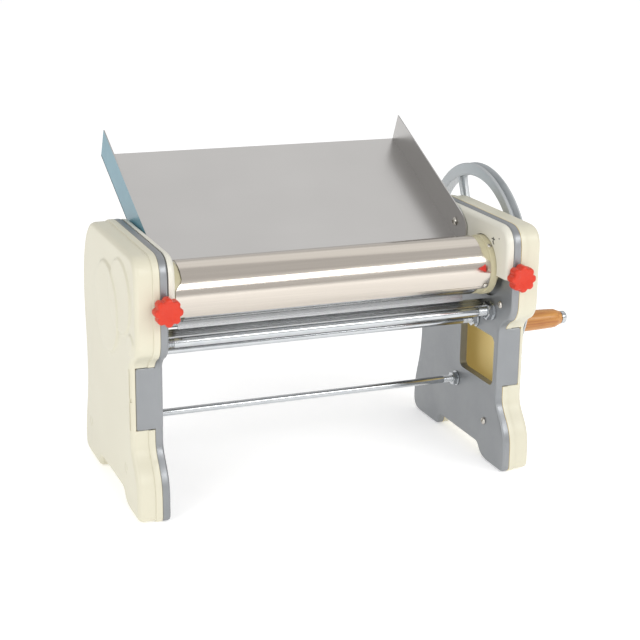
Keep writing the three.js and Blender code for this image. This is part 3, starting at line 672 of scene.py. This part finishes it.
screw = turned([
    (0, -2.2), (1.2, -2.15), (2.2, -1.95), (3.0, -1.5), (3.55, -0.9), (3.8, -0.25), (3.75, 0), (1.8, 0),
    (1.8, 13), (1.2, 14), (0, 14),
], (0, 0), steps=40)
bar = [Vector(p) for p in ((-1.9, -0.42), (1.9, -0.42), (1.9, 0.42), (-1.9, 0.42))]
for shape in (bar, [Vector((-p.y, p.x)) for p in bar]):
    screw = cut(screw, slab(shape, [(-0.1, -3), (0.12, -1.1)]))
screw = broken_edges(screw, 0.08, 1)

hopper_low, hopper_high = (local(corner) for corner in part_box("right_hopper_screw"))
HOPPER_SCREW = ((hopper_low.y + hopper_high.y) / 2, (hopper_low.z + hopper_high.z) / 2)
HOPPER_SEAT = 139.1
places = []
nodes = []
for side, sign in (("right", 1), ("left", -1)):
    places.append(((sign * HOPPER_SEAT, *HOPPER_SCREW), (-sign, 0, 0), 0.5, 1.0))
    nodes.append(f"{side}_hopper_screw")
    for part_name in ("head_cover_screw", "front_leg_screw", "rear_leg_screw"):
        low, high = (local(corner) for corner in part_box(f"{side}_{part_name}"))
        places.append(((sign * seat, (low.y + high.y) / 2, (low.z + high.z) / 2), (-sign, 0, 0), 1.1, 0.85))
        nodes.append(f"{side}_{part_name}")
piece("frame_screws", fitted(screw.copy(), places, nickel), nickel, "frame", "screw_steel", *nodes, angle=30)

SHEET_SCREW_AT = 209
SHEET_SCREW_X = 133.2
DISC_SCREW_AT = 128
DISC_SCREW_X = 138.9
places = []
for sign in (1, -1):
    for x, degrees, radius, size in (
        (SHEET_SCREW_X, SHEET_SCREW_AT, DISC_R + 0.3, 0.62),
        (DISC_SCREW_X, DISC_SCREW_AT, DISC_R - 0.5, 0.55),
    ):
        at = on_sleeve(radius, degrees)
        outwards = (0, *(at - sleeve_axis).normalized())
        places.append(((sign * x, at.x, at.y), outwards, 0.4, size))
piece("sheet_cover_screws", fitted(screw, places, nickel), nickel, "adjuster", "screw_steel",
      "left_sheet_screw", "right_sheet_screw", angle=30)


# ---- Outer gear covers ----
# Two injection moulded covers in cream ABS, hollow, that close the gears in from outside. A low
# lip runs round next to the frame, and round swellings on the face make room for the gears.
cream_abs, tree, shader, where = blank("moulded_cream_abs", Roughness=0.36, IOR=1.54)
# Moulded ABS is evenly coloured: only very broad warm and cool clouds, with a fine spark-eroded
# texture from the mould, about 0.9 mm across here so that it shows.
cloud = add(tree, "ShaderNodeTexNoise", {"Vector": where, "Scale": per_mm(60), "Detail": 2.0})
tinted(tree, shader, cloud, "#CEC9B4", "#D4D0BC")
spark = add(tree, "ShaderNodeTexNoise", {"Vector": where, "Scale": per_mm(0.9), "Detail": 2.0})
roughened(tree, shader, spark, 0.3, 0.44)
raised(tree, shader, spark, 0.12, 0.06)

# Inner wall faces: a warmer, brighter cream and a faint glow, painted light standing in for daylight coming
# through the thin wall.
painted_glow_inside, tree, shader, where = blank("moulded_cream_abs_with_painted_glow", Roughness=0.5, IOR=1.54)
cloud = add(tree, "ShaderNodeTexNoise", {"Vector": where, "Scale": per_mm(22), "Detail": 2.0})
tinted(tree, shader, cloud, "#DCC78C", "#E6D6A4")
# The emission is painted light: the inner faces glow though no lamp lights them.
shader.inputs["Emission Color"].default_value = colour("#E0C070")
shader.inputs["Emission Strength"].default_value = 0.3

COVER_FROM = 153.8
COVER_FACE = 173
WALL = 2.4
LIP = 1.2
LIP_WIDTH = 5.0
EDGE = 4.2


def smooth(value, low, high):
    """0 below low and 1 above high, easing in and out between them."""
    t = min(1, max(0, (value - low) / (high - low)))
    return t * t * (3 - 2 * t)


# Each swelling: centre, radius, height, width of its slope.
SWELLINGS = (
    (rear_axis, 38, 1.6, 2.0),
    (sleeve_axis, 31, 1.2, 2.0),
    (Vector((-61, 143)), 10.5, 1.0, 1.8),
)
SINK_MARKS = (Vector((80, 33)), Vector((-38, 35)))


def swelling(point):
    """Height of the cover's face at a point, over its plain level."""
    heights = [h * (1 - smooth((point - c).length, r - w, r)) for c, r, h, w in SWELLINGS]
    height = max(heights) + 0.35 * min(heights[0], heights[1])
    for mark in SINK_MARKS:
        height -= 0.5 * (1 - smooth(abs((point - mark).length - 3.4), 0.3, 1.5))
    return height


rim = [Vector(p) for p in side_outline]
face_edge = moved_in(rim, LIP + EDGE)
near_rim = KDTree(len(rim) * 8)
for i, here in enumerate(rim):
    after = rim[(i + 1) % len(rim)]
    for j in range(8):
        at = here.lerp(after, j / 8)
        near_rim.insert((at.x, at.y, 0), i * 8 + j)
near_rim.balance()


def inside(point, loop):
    """True where a point lies within a closed outline."""
    crossings = 0
    for i, b in enumerate(loop):
        a = loop[i - 1]
        if (a.y > point.y) != (b.y > point.y):
            crossings += point.x < a.x + (point.y - a.y) / (b.y - a.y) * (b.x - a.x)
    return crossings % 2 == 1


grid = 2.4
wanted = []
for c, r, h, w in (*SWELLINGS, *((mark, 5.2, 0, 3.6) for mark in SINK_MARKS)):
    for k in range(6):
        radius = r + 0.4 - (w + 0.8) * k / 5
        count = int(2 * math.pi * r / 1.8)
        for i in range(count):
            turn = 2 * math.pi * (i + 0.5 * (k % 2)) / count
            wanted.append((Vector((c.x + radius * math.cos(turn), c.y + radius * math.sin(turn))), 0.5))
lowest = Vector((min(p.x for p in rim), min(p.y for p in rim)))
highest = Vector((max(p.x for p in rim), max(p.y for p in rim)))
for i in range(int((highest.x - lowest.x) / grid)):
    for j in range(int((highest.y - lowest.y) / grid)):
        wanted.append((lowest + Vector((i + 0.5 * (j % 2), j)) * grid, 1.1))
spots = [Vector(p) for p in face_edge]
taken = {}
for spot in spots:
    taken.setdefault((int(spot.x // 2), int(spot.y // 2)), []).append(spot)
for spot, room in wanted:
    cell = (int(spot.x // 2), int(spot.y // 2))
    near = [o for a in (-1, 0, 1) for b in (-1, 0, 1) for o in taken.get((cell[0] + a, cell[1] + b), ())]
    if any((o - spot).length < room for o in near) or not inside(spot, face_edge):
        continue
    spots.append(spot)
    taken.setdefault(cell, []).append(spot)
ring_count = len(face_edge)
edges = [(i, (i + 1) % ring_count) for i in range(ring_count)]
flat, _, faces, _, _, _ = delaunay_2d_cdt(spots, edges, [list(range(ring_count))], 1, 1e-4)

face_points = []
for spot in flat:
    gap = near_rim.find((spot.x, spot.y, 0))[2]
    fade = smooth(gap, LIP + EDGE, LIP + EDGE + 3)
    face_points.append((COVER_FACE + swelling(spot) * fade, spot.x, spot.y))
side_profile = (
    [(0, COVER_FROM), (0, COVER_FROM + LIP_WIDTH - 0.4), (0.15, COVER_FROM + LIP_WIDTH),
     (LIP - 0.15, COVER_FROM + LIP_WIDTH + 0.35), (LIP, COVER_FROM + LIP_WIDTH + 0.8)]
    + [(LIP + inset, at) for inset, at in round_edge(COVER_FACE, EDGE, -1, 8)[::-1]]
)
sides = [[(at, p.x, p.y) for p in moved_in(rim, inset)] for inset, at in side_profile]


def cover_shell():
    shell = bmesh.new()
    rows = [[shell.verts.new(point) for point in ring] for ring in sides]
    for a, b in zip(rows, rows[1:]):
        for i in range(ring_count):
            j = (i + 1) % ring_count
            shell.faces.new((a[i], a[j], b[j], b[i]))
    shell.faces.new(rows[0])
    top = [shell.verts.new(point) for point in face_points]
    for corners in faces:
        shell.faces.new([top[i] for i in corners])
    bmesh.ops.remove_doubles(shell, verts=shell.verts, dist=0.002)
    bmesh.ops.recalc_face_normals(shell, faces=shell.faces)
    mesh = bpy.data.meshes.new("work")
    shell.to_mesh(mesh)
    shell.free()
    return mesh


def box_of(x0, y0, z0, x1, y1, z1):
    """A square-cornered cutter."""
    corners = [Vector((y0, z0)), Vector((y1, z0)), Vector((y1, z1)), Vector((y0, z1))]
    return slab(corners, [(0, x0), (0, x1)])


PANEL_FRONT = -60
cover_mesh = cut(
    cover_shell(),
    slab(moved_in(rim, WALL), [(0, COVER_FROM - 2), (0, COVER_FACE - WALL)]),
    box_of(COVER_FROM - 1.3, PANEL_FRONT, PANEL_LOW - 0.3, PANEL_OUT + 0.3, -50, PANEL_HIGH + 0.3),
    plug(6.9, -85, -70, (knob_x, knob_z), "Y", 32),
    box_of(COVER_FACE - 0.8, -53.5, PANEL_LOW, COVER_FACE + 1, -52.3, PANEL_HIGH - 0.6),
    box_of(COVER_FACE - 1.4, -55.4, 95.4, COVER_FACE + 1, -52.4, 99),
)
cover_mesh.materials.append(cream_abs)
cover_mesh.materials.append(painted_glow_inside)
# Faces of the inner wall, facing in towards the frame, take the finish with painted light: a warmer colour
# and a glow for light through the wall.
for side in cover_mesh.polygons:
    side.material_index = int(side.center.x < COVER_FACE - WALL + 0.1 and side.normal.x < -0.9)
driven_cover = cut(
    cover_mesh.copy(),
    plug(12, 160, 180, drive_axis, steps=48),
)
piece("right_gear_cover", broken_edges(driven_cover, 0.3, 2, 50), cream_abs, "frame", "moulded_cover",
      "right_outer_cover")
piece("left_gear_cover", mirrored(broken_edges(cover_mesh, 0.3, 2, 50)), cream_abs, "frame",
      "moulded_cover", "left_outer_cover")


# ---- Inner head covers ----
# Thin moulded covers on the inner faces of the heads, in a paler cream than the outer ones. Each
# is bored clear of its end disc and held by the hopper's screw. The right one carries a scale mark.
pale_abs, tree, shader, where = blank("moulded_pale_abs", Roughness=0.34, IOR=1.54)
cloud = add(tree, "ShaderNodeTexNoise", {"Vector": where, "Scale": per_mm(50), "Detail": 2.0})
tinted(tree, shader, cloud, "#D4D1C3", "#DCD9CD")
spark = add(tree, "ShaderNodeTexNoise", {"Vector": where, "Scale": per_mm(0.9), "Detail": 2.0})
roughened(tree, shader, spark, 0.28, 0.42)
printing_ink, tree, shader, where = blank("black_pad_printing_ink", Roughness=0.5)
# Pad printing leaves tiny thin spots in the ink.
thin = add(tree, "ShaderNodeTexNoise", {"Vector": where, "Scale": per_mm(0.7), "Detail": 2.0})
tinted(tree, shader, thin, "#26262A", "#4A4A4E")

INNER_FACE = 141
INNER_SEAT = 146.7
INNER_LOW = 172
INNER_BORE = 26


def joined(*parts):
    """One mesh of several (mesh, finish) shells, each keeping its own finish."""
    whole = bmesh.new()
    finishes = []
    for mesh, finish in parts:
        if finish not in finishes:
            finishes.append(finish)
        mesh.polygons.foreach_set("material_index", [finishes.index(finish)] * len(mesh.polygons))
        whole.from_mesh(mesh)
    mesh = bpy.data.meshes.new("work")
    whole.to_mesh(mesh)
    whole.free()
    for finish in finishes:
        mesh.materials.append(finish)
    return mesh


inner = slab(rim, [(0.4 + inset, at) for inset, at in round_edge(INNER_FACE, 4, 1, 8)] + [(0.4, INNER_SEAT)])
inner = cut(
    inner,
    box_of(130, -90, -10, 160, 110, INNER_LOW),
    cut(
        slab(moved_in(rim, 4.2), [(0, INNER_FACE + 1.8), (0, 150)]),
        box_of(130, -90, -10, 160, 110, INNER_LOW + 2),
    ),
    plug(INNER_BORE, 130, 160, sleeve_axis, steps=96),
    plug(6.9, -85, -70, (knob_x, knob_z), "Y", 32),
)
inner = fused(inner, plug(5, INNER_FACE + 1, INNER_SEAT, HOPPER_SCREW, steps=32))
inner = cut(inner, plug(2.1, 130, 150, HOPPER_SCREW, steps=24))
inner = broken_edges(inner, 0.35)

strokes = (
    ((-52.4, 197.4), (-49.6, 199.6), 0.55),
    ((-50.9, 203.2), (-50.9, 197.8), 0.5),
    ((-53.6, 201.6), (-48.0, 201.6), 0.5),
    ((-61.3, 204.0), (-60.3, 204.0), 0.55),
)
marks = [(inner.copy(), pale_abs)]
for start, end, half in strokes:
    run = (Vector(end) - Vector(start)).normalized() * half
    side = Vector((-run.y, run.x))
    a, b = Vector(start), Vector(end)
    corners = [a - side, b - side, b + run * 0.6, b + side, a + side, a - run * 0.6]
    marks.append((slab(corners, [(0, INNER_FACE - 0.05), (0, INNER_FACE + 0.2)]), printing_ink))
piece("right_head_cover", joined(*marks), pale_abs, "frame", "moulded_cover", "right_inner_cover")
piece("left_head_cover", mirrored(inner), pale_abs, "frame", "moulded_cover", "left_inner_cover")


# ---- Hopper ----
# One sheet of brushed stainless steel, folded up at both sides and screwed between the heads. The
# blue film that protects it in the workshop is still on the outer faces of the sides.
brushed_sheet, tree, shader, where = blank("brushed_stainless_sheet", Metallic=1.0)
# Brushing runs along the sheet's width; the strokes are drawn 0.7 mm apart so that they show.
drawn = add(tree, "ShaderNodeMapping", {"Vector": where, "Scale": (per_mm(60), per_mm(0.7), per_mm(0.7))})
lines = add(tree, "ShaderNodeTexNoise", {"Vector": drawn.outputs[0], "Scale": 1.0, "Detail": 4.0})
cloud = add(tree, "ShaderNodeTexNoise", {"Vector": where, "Scale": per_mm(90), "Detail": 2.0})
tinted(tree, shader, cloud, "#BBB9B7", "#C6C4C2")
roughened(tree, shader, lines, 0.26, 0.36)
raised(tree, shader, lines, 0.08, 0.05)

blue_film, tree, shader, where = blank("blue_protective_film", Roughness=0.3, IOR=1.5)
# Thin blue polythene stuck to the steel: paler where small air bubbles lift it.
bubbles = add(tree, "ShaderNodeTexNoise", {"Vector": where, "Scale": per_mm(16), "Detail": 4.0})
tinted(tree, shader, bubbles, "#4E7F91", "#6493A1")

TRAY_LOW = Vector((-4, 178))
TRAY_TOP = Vector((154, 251))
SHEET = 1.0
SIDE_OUT = 140.4
SIDE_DEPTH = 26.8
slope = (TRAY_TOP - TRAY_LOW).normalized()
upwards = Vector((-slope.y, slope.x))
tray_section = [TRAY_LOW, TRAY_TOP, TRAY_TOP + upwards * SHEET, TRAY_LOW + upwards * SHEET]
side_shape = outline(TRAY_LOW, [
    [TRAY_TOP], [TRAY_TOP + upwards * SIDE_DEPTH], [(11, 214.3)], [(-3, 208), (-4, 201)],
])
side_wall = slab(side_shape, [(0, SIDE_OUT - SHEET), (0, SIDE_OUT)])
hopper = fused(
    slab(tray_section, [(0, -SIDE_OUT), (0, SIDE_OUT)]), side_wall, mirrored(side_wall),
)
for sign in (1, -1):
    hopper = cut(hopper, plug(2.1, sign * 130, sign * 150, HOPPER_SCREW, steps=24))
hopper = broken_edges(hopper, 0.45, 3)
hopper.materials.append(brushed_sheet)
hopper.materials.append(blue_film)
for side in hopper.polygons:
    side.material_index = int(abs(side.center.x) > SIDE_OUT - 0.02)
piece("folded_hopper", hopper, brushed_sheet, "frame", "hopper_sheet", "hopper_tray", angle=25)


# ---- Lock knobs ----
# Eight-lobed knobs moulded in orange-red plastic round a threaded steel stem. Screwed in, they
# clamp the end discs at the chosen gap.
red_plastic, tree, shader, where = blank("moulded_red_plastic", Roughness=0.38, IOR=1.49)
flow = add(tree, "ShaderNodeTexNoise", {"Vector": where, "Scale": per_mm(7), "Detail": 3.0})
tinted(tree, shader, flow, "#C62A0C", "#D03414")
roughened(tree, shader, flow, 0.3, 0.44)

LOBES = 8
KNOB_R = 11.3
LOBE_DEPTH = 1.9
KNOB_FRONT = -91
KNOB_BACK = -80
COLLAR_BACK = -77.4


def lobed(inset, at, depth, steps=160):
    """A ring round the knob's axis; broad lobes with narrow valleys of a depth between them."""
    ring = []
    for i in range(steps):
        turn = 2 * math.pi * i / steps
        radius = KNOB_R - depth * math.sin(LOBES / 2 * turn) ** 4 - inset
        ring.append((knob_x + radius * math.cos(turn), at, knob_z + radius * math.sin(turn)))
    return ring


rings = [
    lobed(8.4, KNOB_FRONT + 1.1, 0.2), lobed(6.6, KNOB_FRONT + 0.9, 0.4), lobed(4.6, KNOB_FRONT + 0.15, 0.8),
]
for inset, at in round_edge(KNOB_FRONT, 2.6, 1, 6):
    rings.append(lobed(inset, at, LOBE_DEPTH - 0.3 * inset))
for inset, at in reversed(round_edge(KNOB_BACK, 2.0, -1, 6)):
    rings.append(lobed(inset, at, LOBE_DEPTH - 0.3 * inset))
knob = skinned(rings)
knob = fused(knob, turned([(0, -82), (6, -82), (6, COLLAR_BACK - 0.5), (5.5, COLLAR_BACK), (0, COLLAR_BACK)],
                          (knob_x, knob_z), "Y", 48))
knob = cut(knob, plug(4.3, -86, -70, (knob_x, knob_z), "Y", 32))
piece("right_red_knob", knob.copy(), red_plastic, "right_lock", "red_plastic", "right_lock_knob")
piece("left_red_knob", mirrored(knob), red_plastic, "left_lock", "red_plastic", "left_lock_knob")


# ---- Wheel ----
# A cast iron flywheel with a V groove in its rim and five ribbed arms, turned on the rim and
# hub and painted grey. A nut holds it on the shaft.
grey_enamel, tree, shader, where = blank("grey_enamel_on_cast_iron", Metallic=0.5)
# Enamel over sand-cast iron: a coarser orange peel than on the side frames, about 2.5 mm.
patches = add(tree, "ShaderNodeTexNoise", {"Vector": where, "Scale": per_mm(30), "Detail": 3.0})
tinted(tree, shader, patches, "#B4B8BA", "#C2C5C7")
sand = add(tree, "ShaderNodeTexNoise", {"Vector": where, "Scale": per_mm(2.5), "Detail": 3.0})
roughened(tree, shader, sand, 0.34, 0.5)
raised(tree, shader, sand, 0.3, 0.25)

SPOKES = 5
WHEEL_R = 95.4
RIM_DEPTH = 11
RIM_NEAR = 178.5
RIM_FAR = 189
WHEEL_MIDDLE = (RIM_NEAR + RIM_FAR) / 2
crank_low, crank_high = (local(corner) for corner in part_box("crank_pin"))
crank = ((crank_low.y + crank_high.y) / 2, (crank_low.z + crank_high.z) / 2)
SPOKE_AT = math.atan2(crank[1] - drive_axis.y, crank[0] - drive_axis.x)
arm_section = [Vector(p) for p in (
    (-4, -1.5), (-2.0, -1.9), (-1.7, -4.4), (-1.2, -5), (1.2, -5), (1.7, -4.4), (2.0, -1.9), (4, -1.5),
    (4, 1.5), (2.0, 1.9), (1.7, 4.4), (1.2, 5), (-1.2, 5), (-1.7, 4.4), (-2.0, 1.9), (-4, 1.5),
)]
sections = []
for at, deep, wide in (
    (8, 1.25, 1.5), (16, 1.1, 1.3), (30, 1.0, 1.1), (60, 1.0, 0.9), (76, 1.0, 1.0), (WHEEL_R - 8, 1.1, 1.5),
):
    sections.append([(p.x * deep, p.y * wide, at) for p in arm_section])
spoke = skinned(sections)

# Five copies of one arm, turned evenly about the hub.
arms, given = geometry_tree(
    "wheel_arms", "Arms", Arm="Geometry", Count="Int", First="Float", Hub="Vector", Finish="Material",
)
points = add(arms, "GeometryNodeMeshLine", {
    "Count": given["Count"], "Start Location": given["Hub"], "Offset": (0, 0, 0),
}, mode="OFFSET")
number = add(arms, "GeometryNodeInputIndex")
part_turn = add(arms, "ShaderNodeMath", {0: 2 * math.pi, 1: given["Count"]}, operation="DIVIDE")
turn = add(arms, "ShaderNodeMath", {
    0: number.outputs[0], 1: part_turn.outputs[0], 2: given["First"],
}, operation="MULTIPLY_ADD")
facing = add(arms, "ShaderNodeCombineXYZ", {"X": turn.outputs[0]})
placed = add(arms, "GeometryNodeInstanceOnPoints", {
    "Points": points.outputs[0], "Instance": given["Arm"], "Rotation": facing.outputs[0],
})
plain = add(arms, "GeometryNodeRealizeInstances", {"Geometry": placed.outputs[0]})
painted = add(arms, "GeometryNodeSetMaterial", {"Geometry": plain.outputs[0], "Material": given["Finish"]})
add(arms, "NodeGroupOutput", {"Arms": painted.outputs[0]})
spider = grown(spoke, arms, Count=SPOKES, First=SPOKE_AT - math.pi / 2,
               Hub=(WHEEL_MIDDLE, drive_axis.x, drive_axis.y), Finish=grey_enamel)

WITHIN = WHEEL_R - RIM_DEPTH
GROOVE = WHEEL_R - 5
rim_section = [
    (WITHIN, RIM_NEAR + 1.2), (WITHIN + 1.2, RIM_NEAR), (WHEEL_R - 1, RIM_NEAR), (WHEEL_R, RIM_NEAR + 1),
    (WHEEL_R, WHEEL_MIDDLE - 3.2), (GROOVE, WHEEL_MIDDLE - 0.9), (GROOVE, WHEEL_MIDDLE + 0.9),
    (WHEEL_R, WHEEL_MIDDLE + 3.2), (WHEEL_R, RIM_FAR - 1), (WHEEL_R - 1, RIM_FAR), (WITHIN + 1.2, RIM_FAR),
    (WITHIN, RIM_FAR - 1.2),
]
wheel_rim = turned(rim_section, drive_axis, steps=160, loop=True)
hub = turned([
    (0, 176), (13.6, 176), (15, 177.4), (15.6, 183), (15.6, 193), (15, 198.6), (13.6, 200), (0, 200),
], drive_axis, steps=64)
boss = turned([(0, 179.5), (8.4, 179.5), (9, 180.1), (9, 194.4), (8.4, 195), (0, 195)], crank, steps=40)
wheel = fused(wheel_rim, hub, spider, boss)
wheel = cut(
    wheel,
    plug(6.3, 170, 205, drive_axis, steps=40),
    plug(4.3, 170, 205, crank, steps=32),
)
piece("cast_flywheel", broken_edges(wheel, 0.5, 2, 32), grey_enamel, "drive", "wheel_iron", "hand_wheel")

# The shaft nut is the same chamfered hexagon with its washer, at its own size.
SHAFT_NUT = 5.15
NUT_FROM = local(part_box("wheel_nut")[0]).x
piece("shaft_nut", fitted(nut, [((NUT_FROM, *drive_axis), (1, 0, 0), 0.2, SHAFT_NUT)], bright_zinc),
      bright_zinc, "drive", "zinc_steel", "wheel_nut", angle=25)


# ---- Crank pin and grip ----
# A steel pin pressed into the wheel carries a grip turned from beech, stained and varnished, held
# by a small domed nut.
crank_pin = turned([
    (0, 181.4), (3.6, 181.4), (4, 181.8), (4, 195.3), (6.1, 195.3), (6.5, 195.7), (6.5, 200.4), (6.1, 200.8),
    (4, 200.8), (4, 286), (3.6, 286.4), (3.6, 290), (3, 290.6), (0, 290.6),
], crank, steps=40)
piece("turned_crank_pin", crank_pin, bright_zinc, "drive", "zinc_steel", "crank_pin")
grip_nut = turned([
    (4.3, 284.8), (5.9, 284.8), (6.2, 285.1), (6.2, 288.0), (6.0, 288.8), (5.3, 289.6), (4.6, 289.8),
    (4.3, 289.8),
], crank, steps=48, loop=True)
piece("grip_end_nut", grip_nut, bright_zinc, "drive", "zinc_steel", "grip_nut")

varnished_beech, tree, shader, where = blank("varnished_beech", IOR=1.5)
shader.inputs["Coat Weight"].default_value = 0.45
shader.inputs["Coat Roughness"].default_value = 0.18
# Beech turned along the grain: streaks about 2 mm wide and 60 mm long, with the short dark flecks
# that beech shows, under a clear varnish.
along = add(tree, "ShaderNodeMapping", {"Vector": where, "Scale": (per_mm(60), per_mm(2.2), per_mm(2.2))})
growth = add(tree, "ShaderNodeTexNoise", {
    "Vector": along.outputs[0], "Scale": 1.0, "Detail": 4.0, "Distortion": 0.4,
})
tone = add(tree, "ShaderNodeValToRGB", {"Fac": growth.outputs["Fac"]})
tone.color_ramp.elements[0].position = 0.3
tone.color_ramp.elements[0].color = colour("#A8662A")
tone.color_ramp.elements[1].position = 0.7
tone.color_ramp.elements[1].color = colour("#CF9346")
flecked = add(tree, "ShaderNodeMapping", {"Vector": where, "Scale": (per_mm(3.2), per_mm(0.5), per_mm(0.5))})
flecks = add(tree, "ShaderNodeTexNoise", {"Vector": flecked.outputs[0], "Scale": 1.0, "Detail": 2.0})
share = add(tree, "ShaderNodeMapRange", {0: flecks.outputs["Fac"], 1: 0.62, 2: 0.75, 3: 0.0, 4: 0.6})
wood = add(tree, "ShaderNodeMix", {
    0: share.outputs[0], 6: tone.outputs["Color"], 7: colour("#7F481C"),
}, data_type="RGBA")
tree.links.new(wood.outputs[2], shader.inputs["Base Color"])
roughened(tree, shader, growth, 0.42, 0.58)

grip = turned([
    (4.5, 201.2), (6.2, 201.2), (6.7, 201.6), (7.2, 202.6), (7.9, 205), (8.6, 209), (9.3, 215), (9.7, 223),
    (9.9, 233), (9.9, 243), (9.8, 253), (9.6, 261), (9.35, 268), (9.1, 274), (8.9, 277.4), (8.5, 278.6),
    (7.4, 281), (6.5, 283.4), (6.2, 284.2), (5.8, 284.4), (4.5, 284.4),
], crank, steps=64, loop=True)
piece("beech_grip", grip, varnished_beech, "grip", "grip_wood", "grip", angle=50)


# ---- Floor, light and camera ----
# A white studio sweep, a wide soft light above the front, and weaker ones at the left and over the
# tray.
paper, tree, shader, where = blank("white_studio_paper", Roughness=0.9)
fibre = add(tree, "ShaderNodeTexNoise", {"Vector": where, "Scale": per_mm(30), "Detail": 3.0})
tinted(tree, shader, fibre, "#F6F6F6", "#FBFBFB")
# The sweep is lit evenly from below, so it stays white right to the back.
shader.inputs["Emission Color"].default_value = colour("#FFFFFF")
shader.inputs["Emission Strength"].default_value = 0.36
FLOOR_HALF = 12.0
floor_mesh = bpy.data.meshes.new("floor")
floor_mesh.from_pydata(
    [(x, y, -0.0005) for x, y in ((-FLOOR_HALF, -FLOOR_HALF), (FLOOR_HALF, -FLOOR_HALF),
                                  (FLOOR_HALF, FLOOR_HALF), (-FLOOR_HALF, FLOOR_HALF))],
    [], [(0, 1, 2, 3)],
)
floor_mesh.materials.append(paper)
floor = bpy.data.objects.new("floor", floor_mesh)
bpy.context.collection.objects.link(floor)

bpy.context.scene.view_settings.view_transform = "Standard"
world = bpy.data.worlds.new("studio")
world.use_nodes = True
sky = world.node_tree.nodes["Background"]
sky.inputs["Color"].default_value = colour("#FFFFFF")
sky.inputs["Strength"].default_value = 0.68
bpy.context.scene.world = world


def soft_light(name, place, aim, width, depth, watts):
    lamp = bpy.data.lights.new(name, "AREA")
    lamp.shape = "RECTANGLE"
    lamp.size = width
    lamp.size_y = depth
    lamp.energy = watts
    holder = bpy.data.objects.new(name, lamp)
    bpy.context.collection.objects.link(holder)
    holder.location = place
    holder.rotation_euler = (Vector(aim) - Vector(place)).to_track_quat("-Z", "Y").to_euler()


soft_light("key", (0.6, -1.5, 1.05), (0, 0, 0.15), 1.8, 0.48, 14)
soft_light("front_left", (-1.6, -1.0, 0.9), (0, 0, 0.15), 0.9, 1.2, 9)
soft_light("over_the_tray", (0.6, 0.7, 1.6), (0, 0.05, 0.2), 1.4, 1.0, 1.6)

camera_data = bpy.data.cameras.new("camera")
camera_data.lens = 85.33
camera_data.sensor_width = 36
camera_data.clip_start = 0.05
camera = bpy.data.objects.new("camera", camera_data)
bpy.context.collection.objects.link(camera)
TURN = math.radians(-21.86)
TILT = math.radians(16.76)
ROLL = math.radians(0.83)
STAND = (-0.5080, -1.1703, 0.4992)
back = Vector((math.sin(TURN) * math.cos(TILT), -math.cos(TURN) * math.cos(TILT), math.sin(TILT)))
level = Vector((math.cos(TURN), math.sin(TURN), 0))
above = back.cross(level)
across = level * math.cos(ROLL) + above * math.sin(ROLL)
above = above * math.cos(ROLL) - level * math.sin(ROLL)
stance = Matrix((across, above, back)).transposed().to_4x4()
stance.translation = STAND
camera.matrix_world = stance
bpy.context.scene.camera = camera
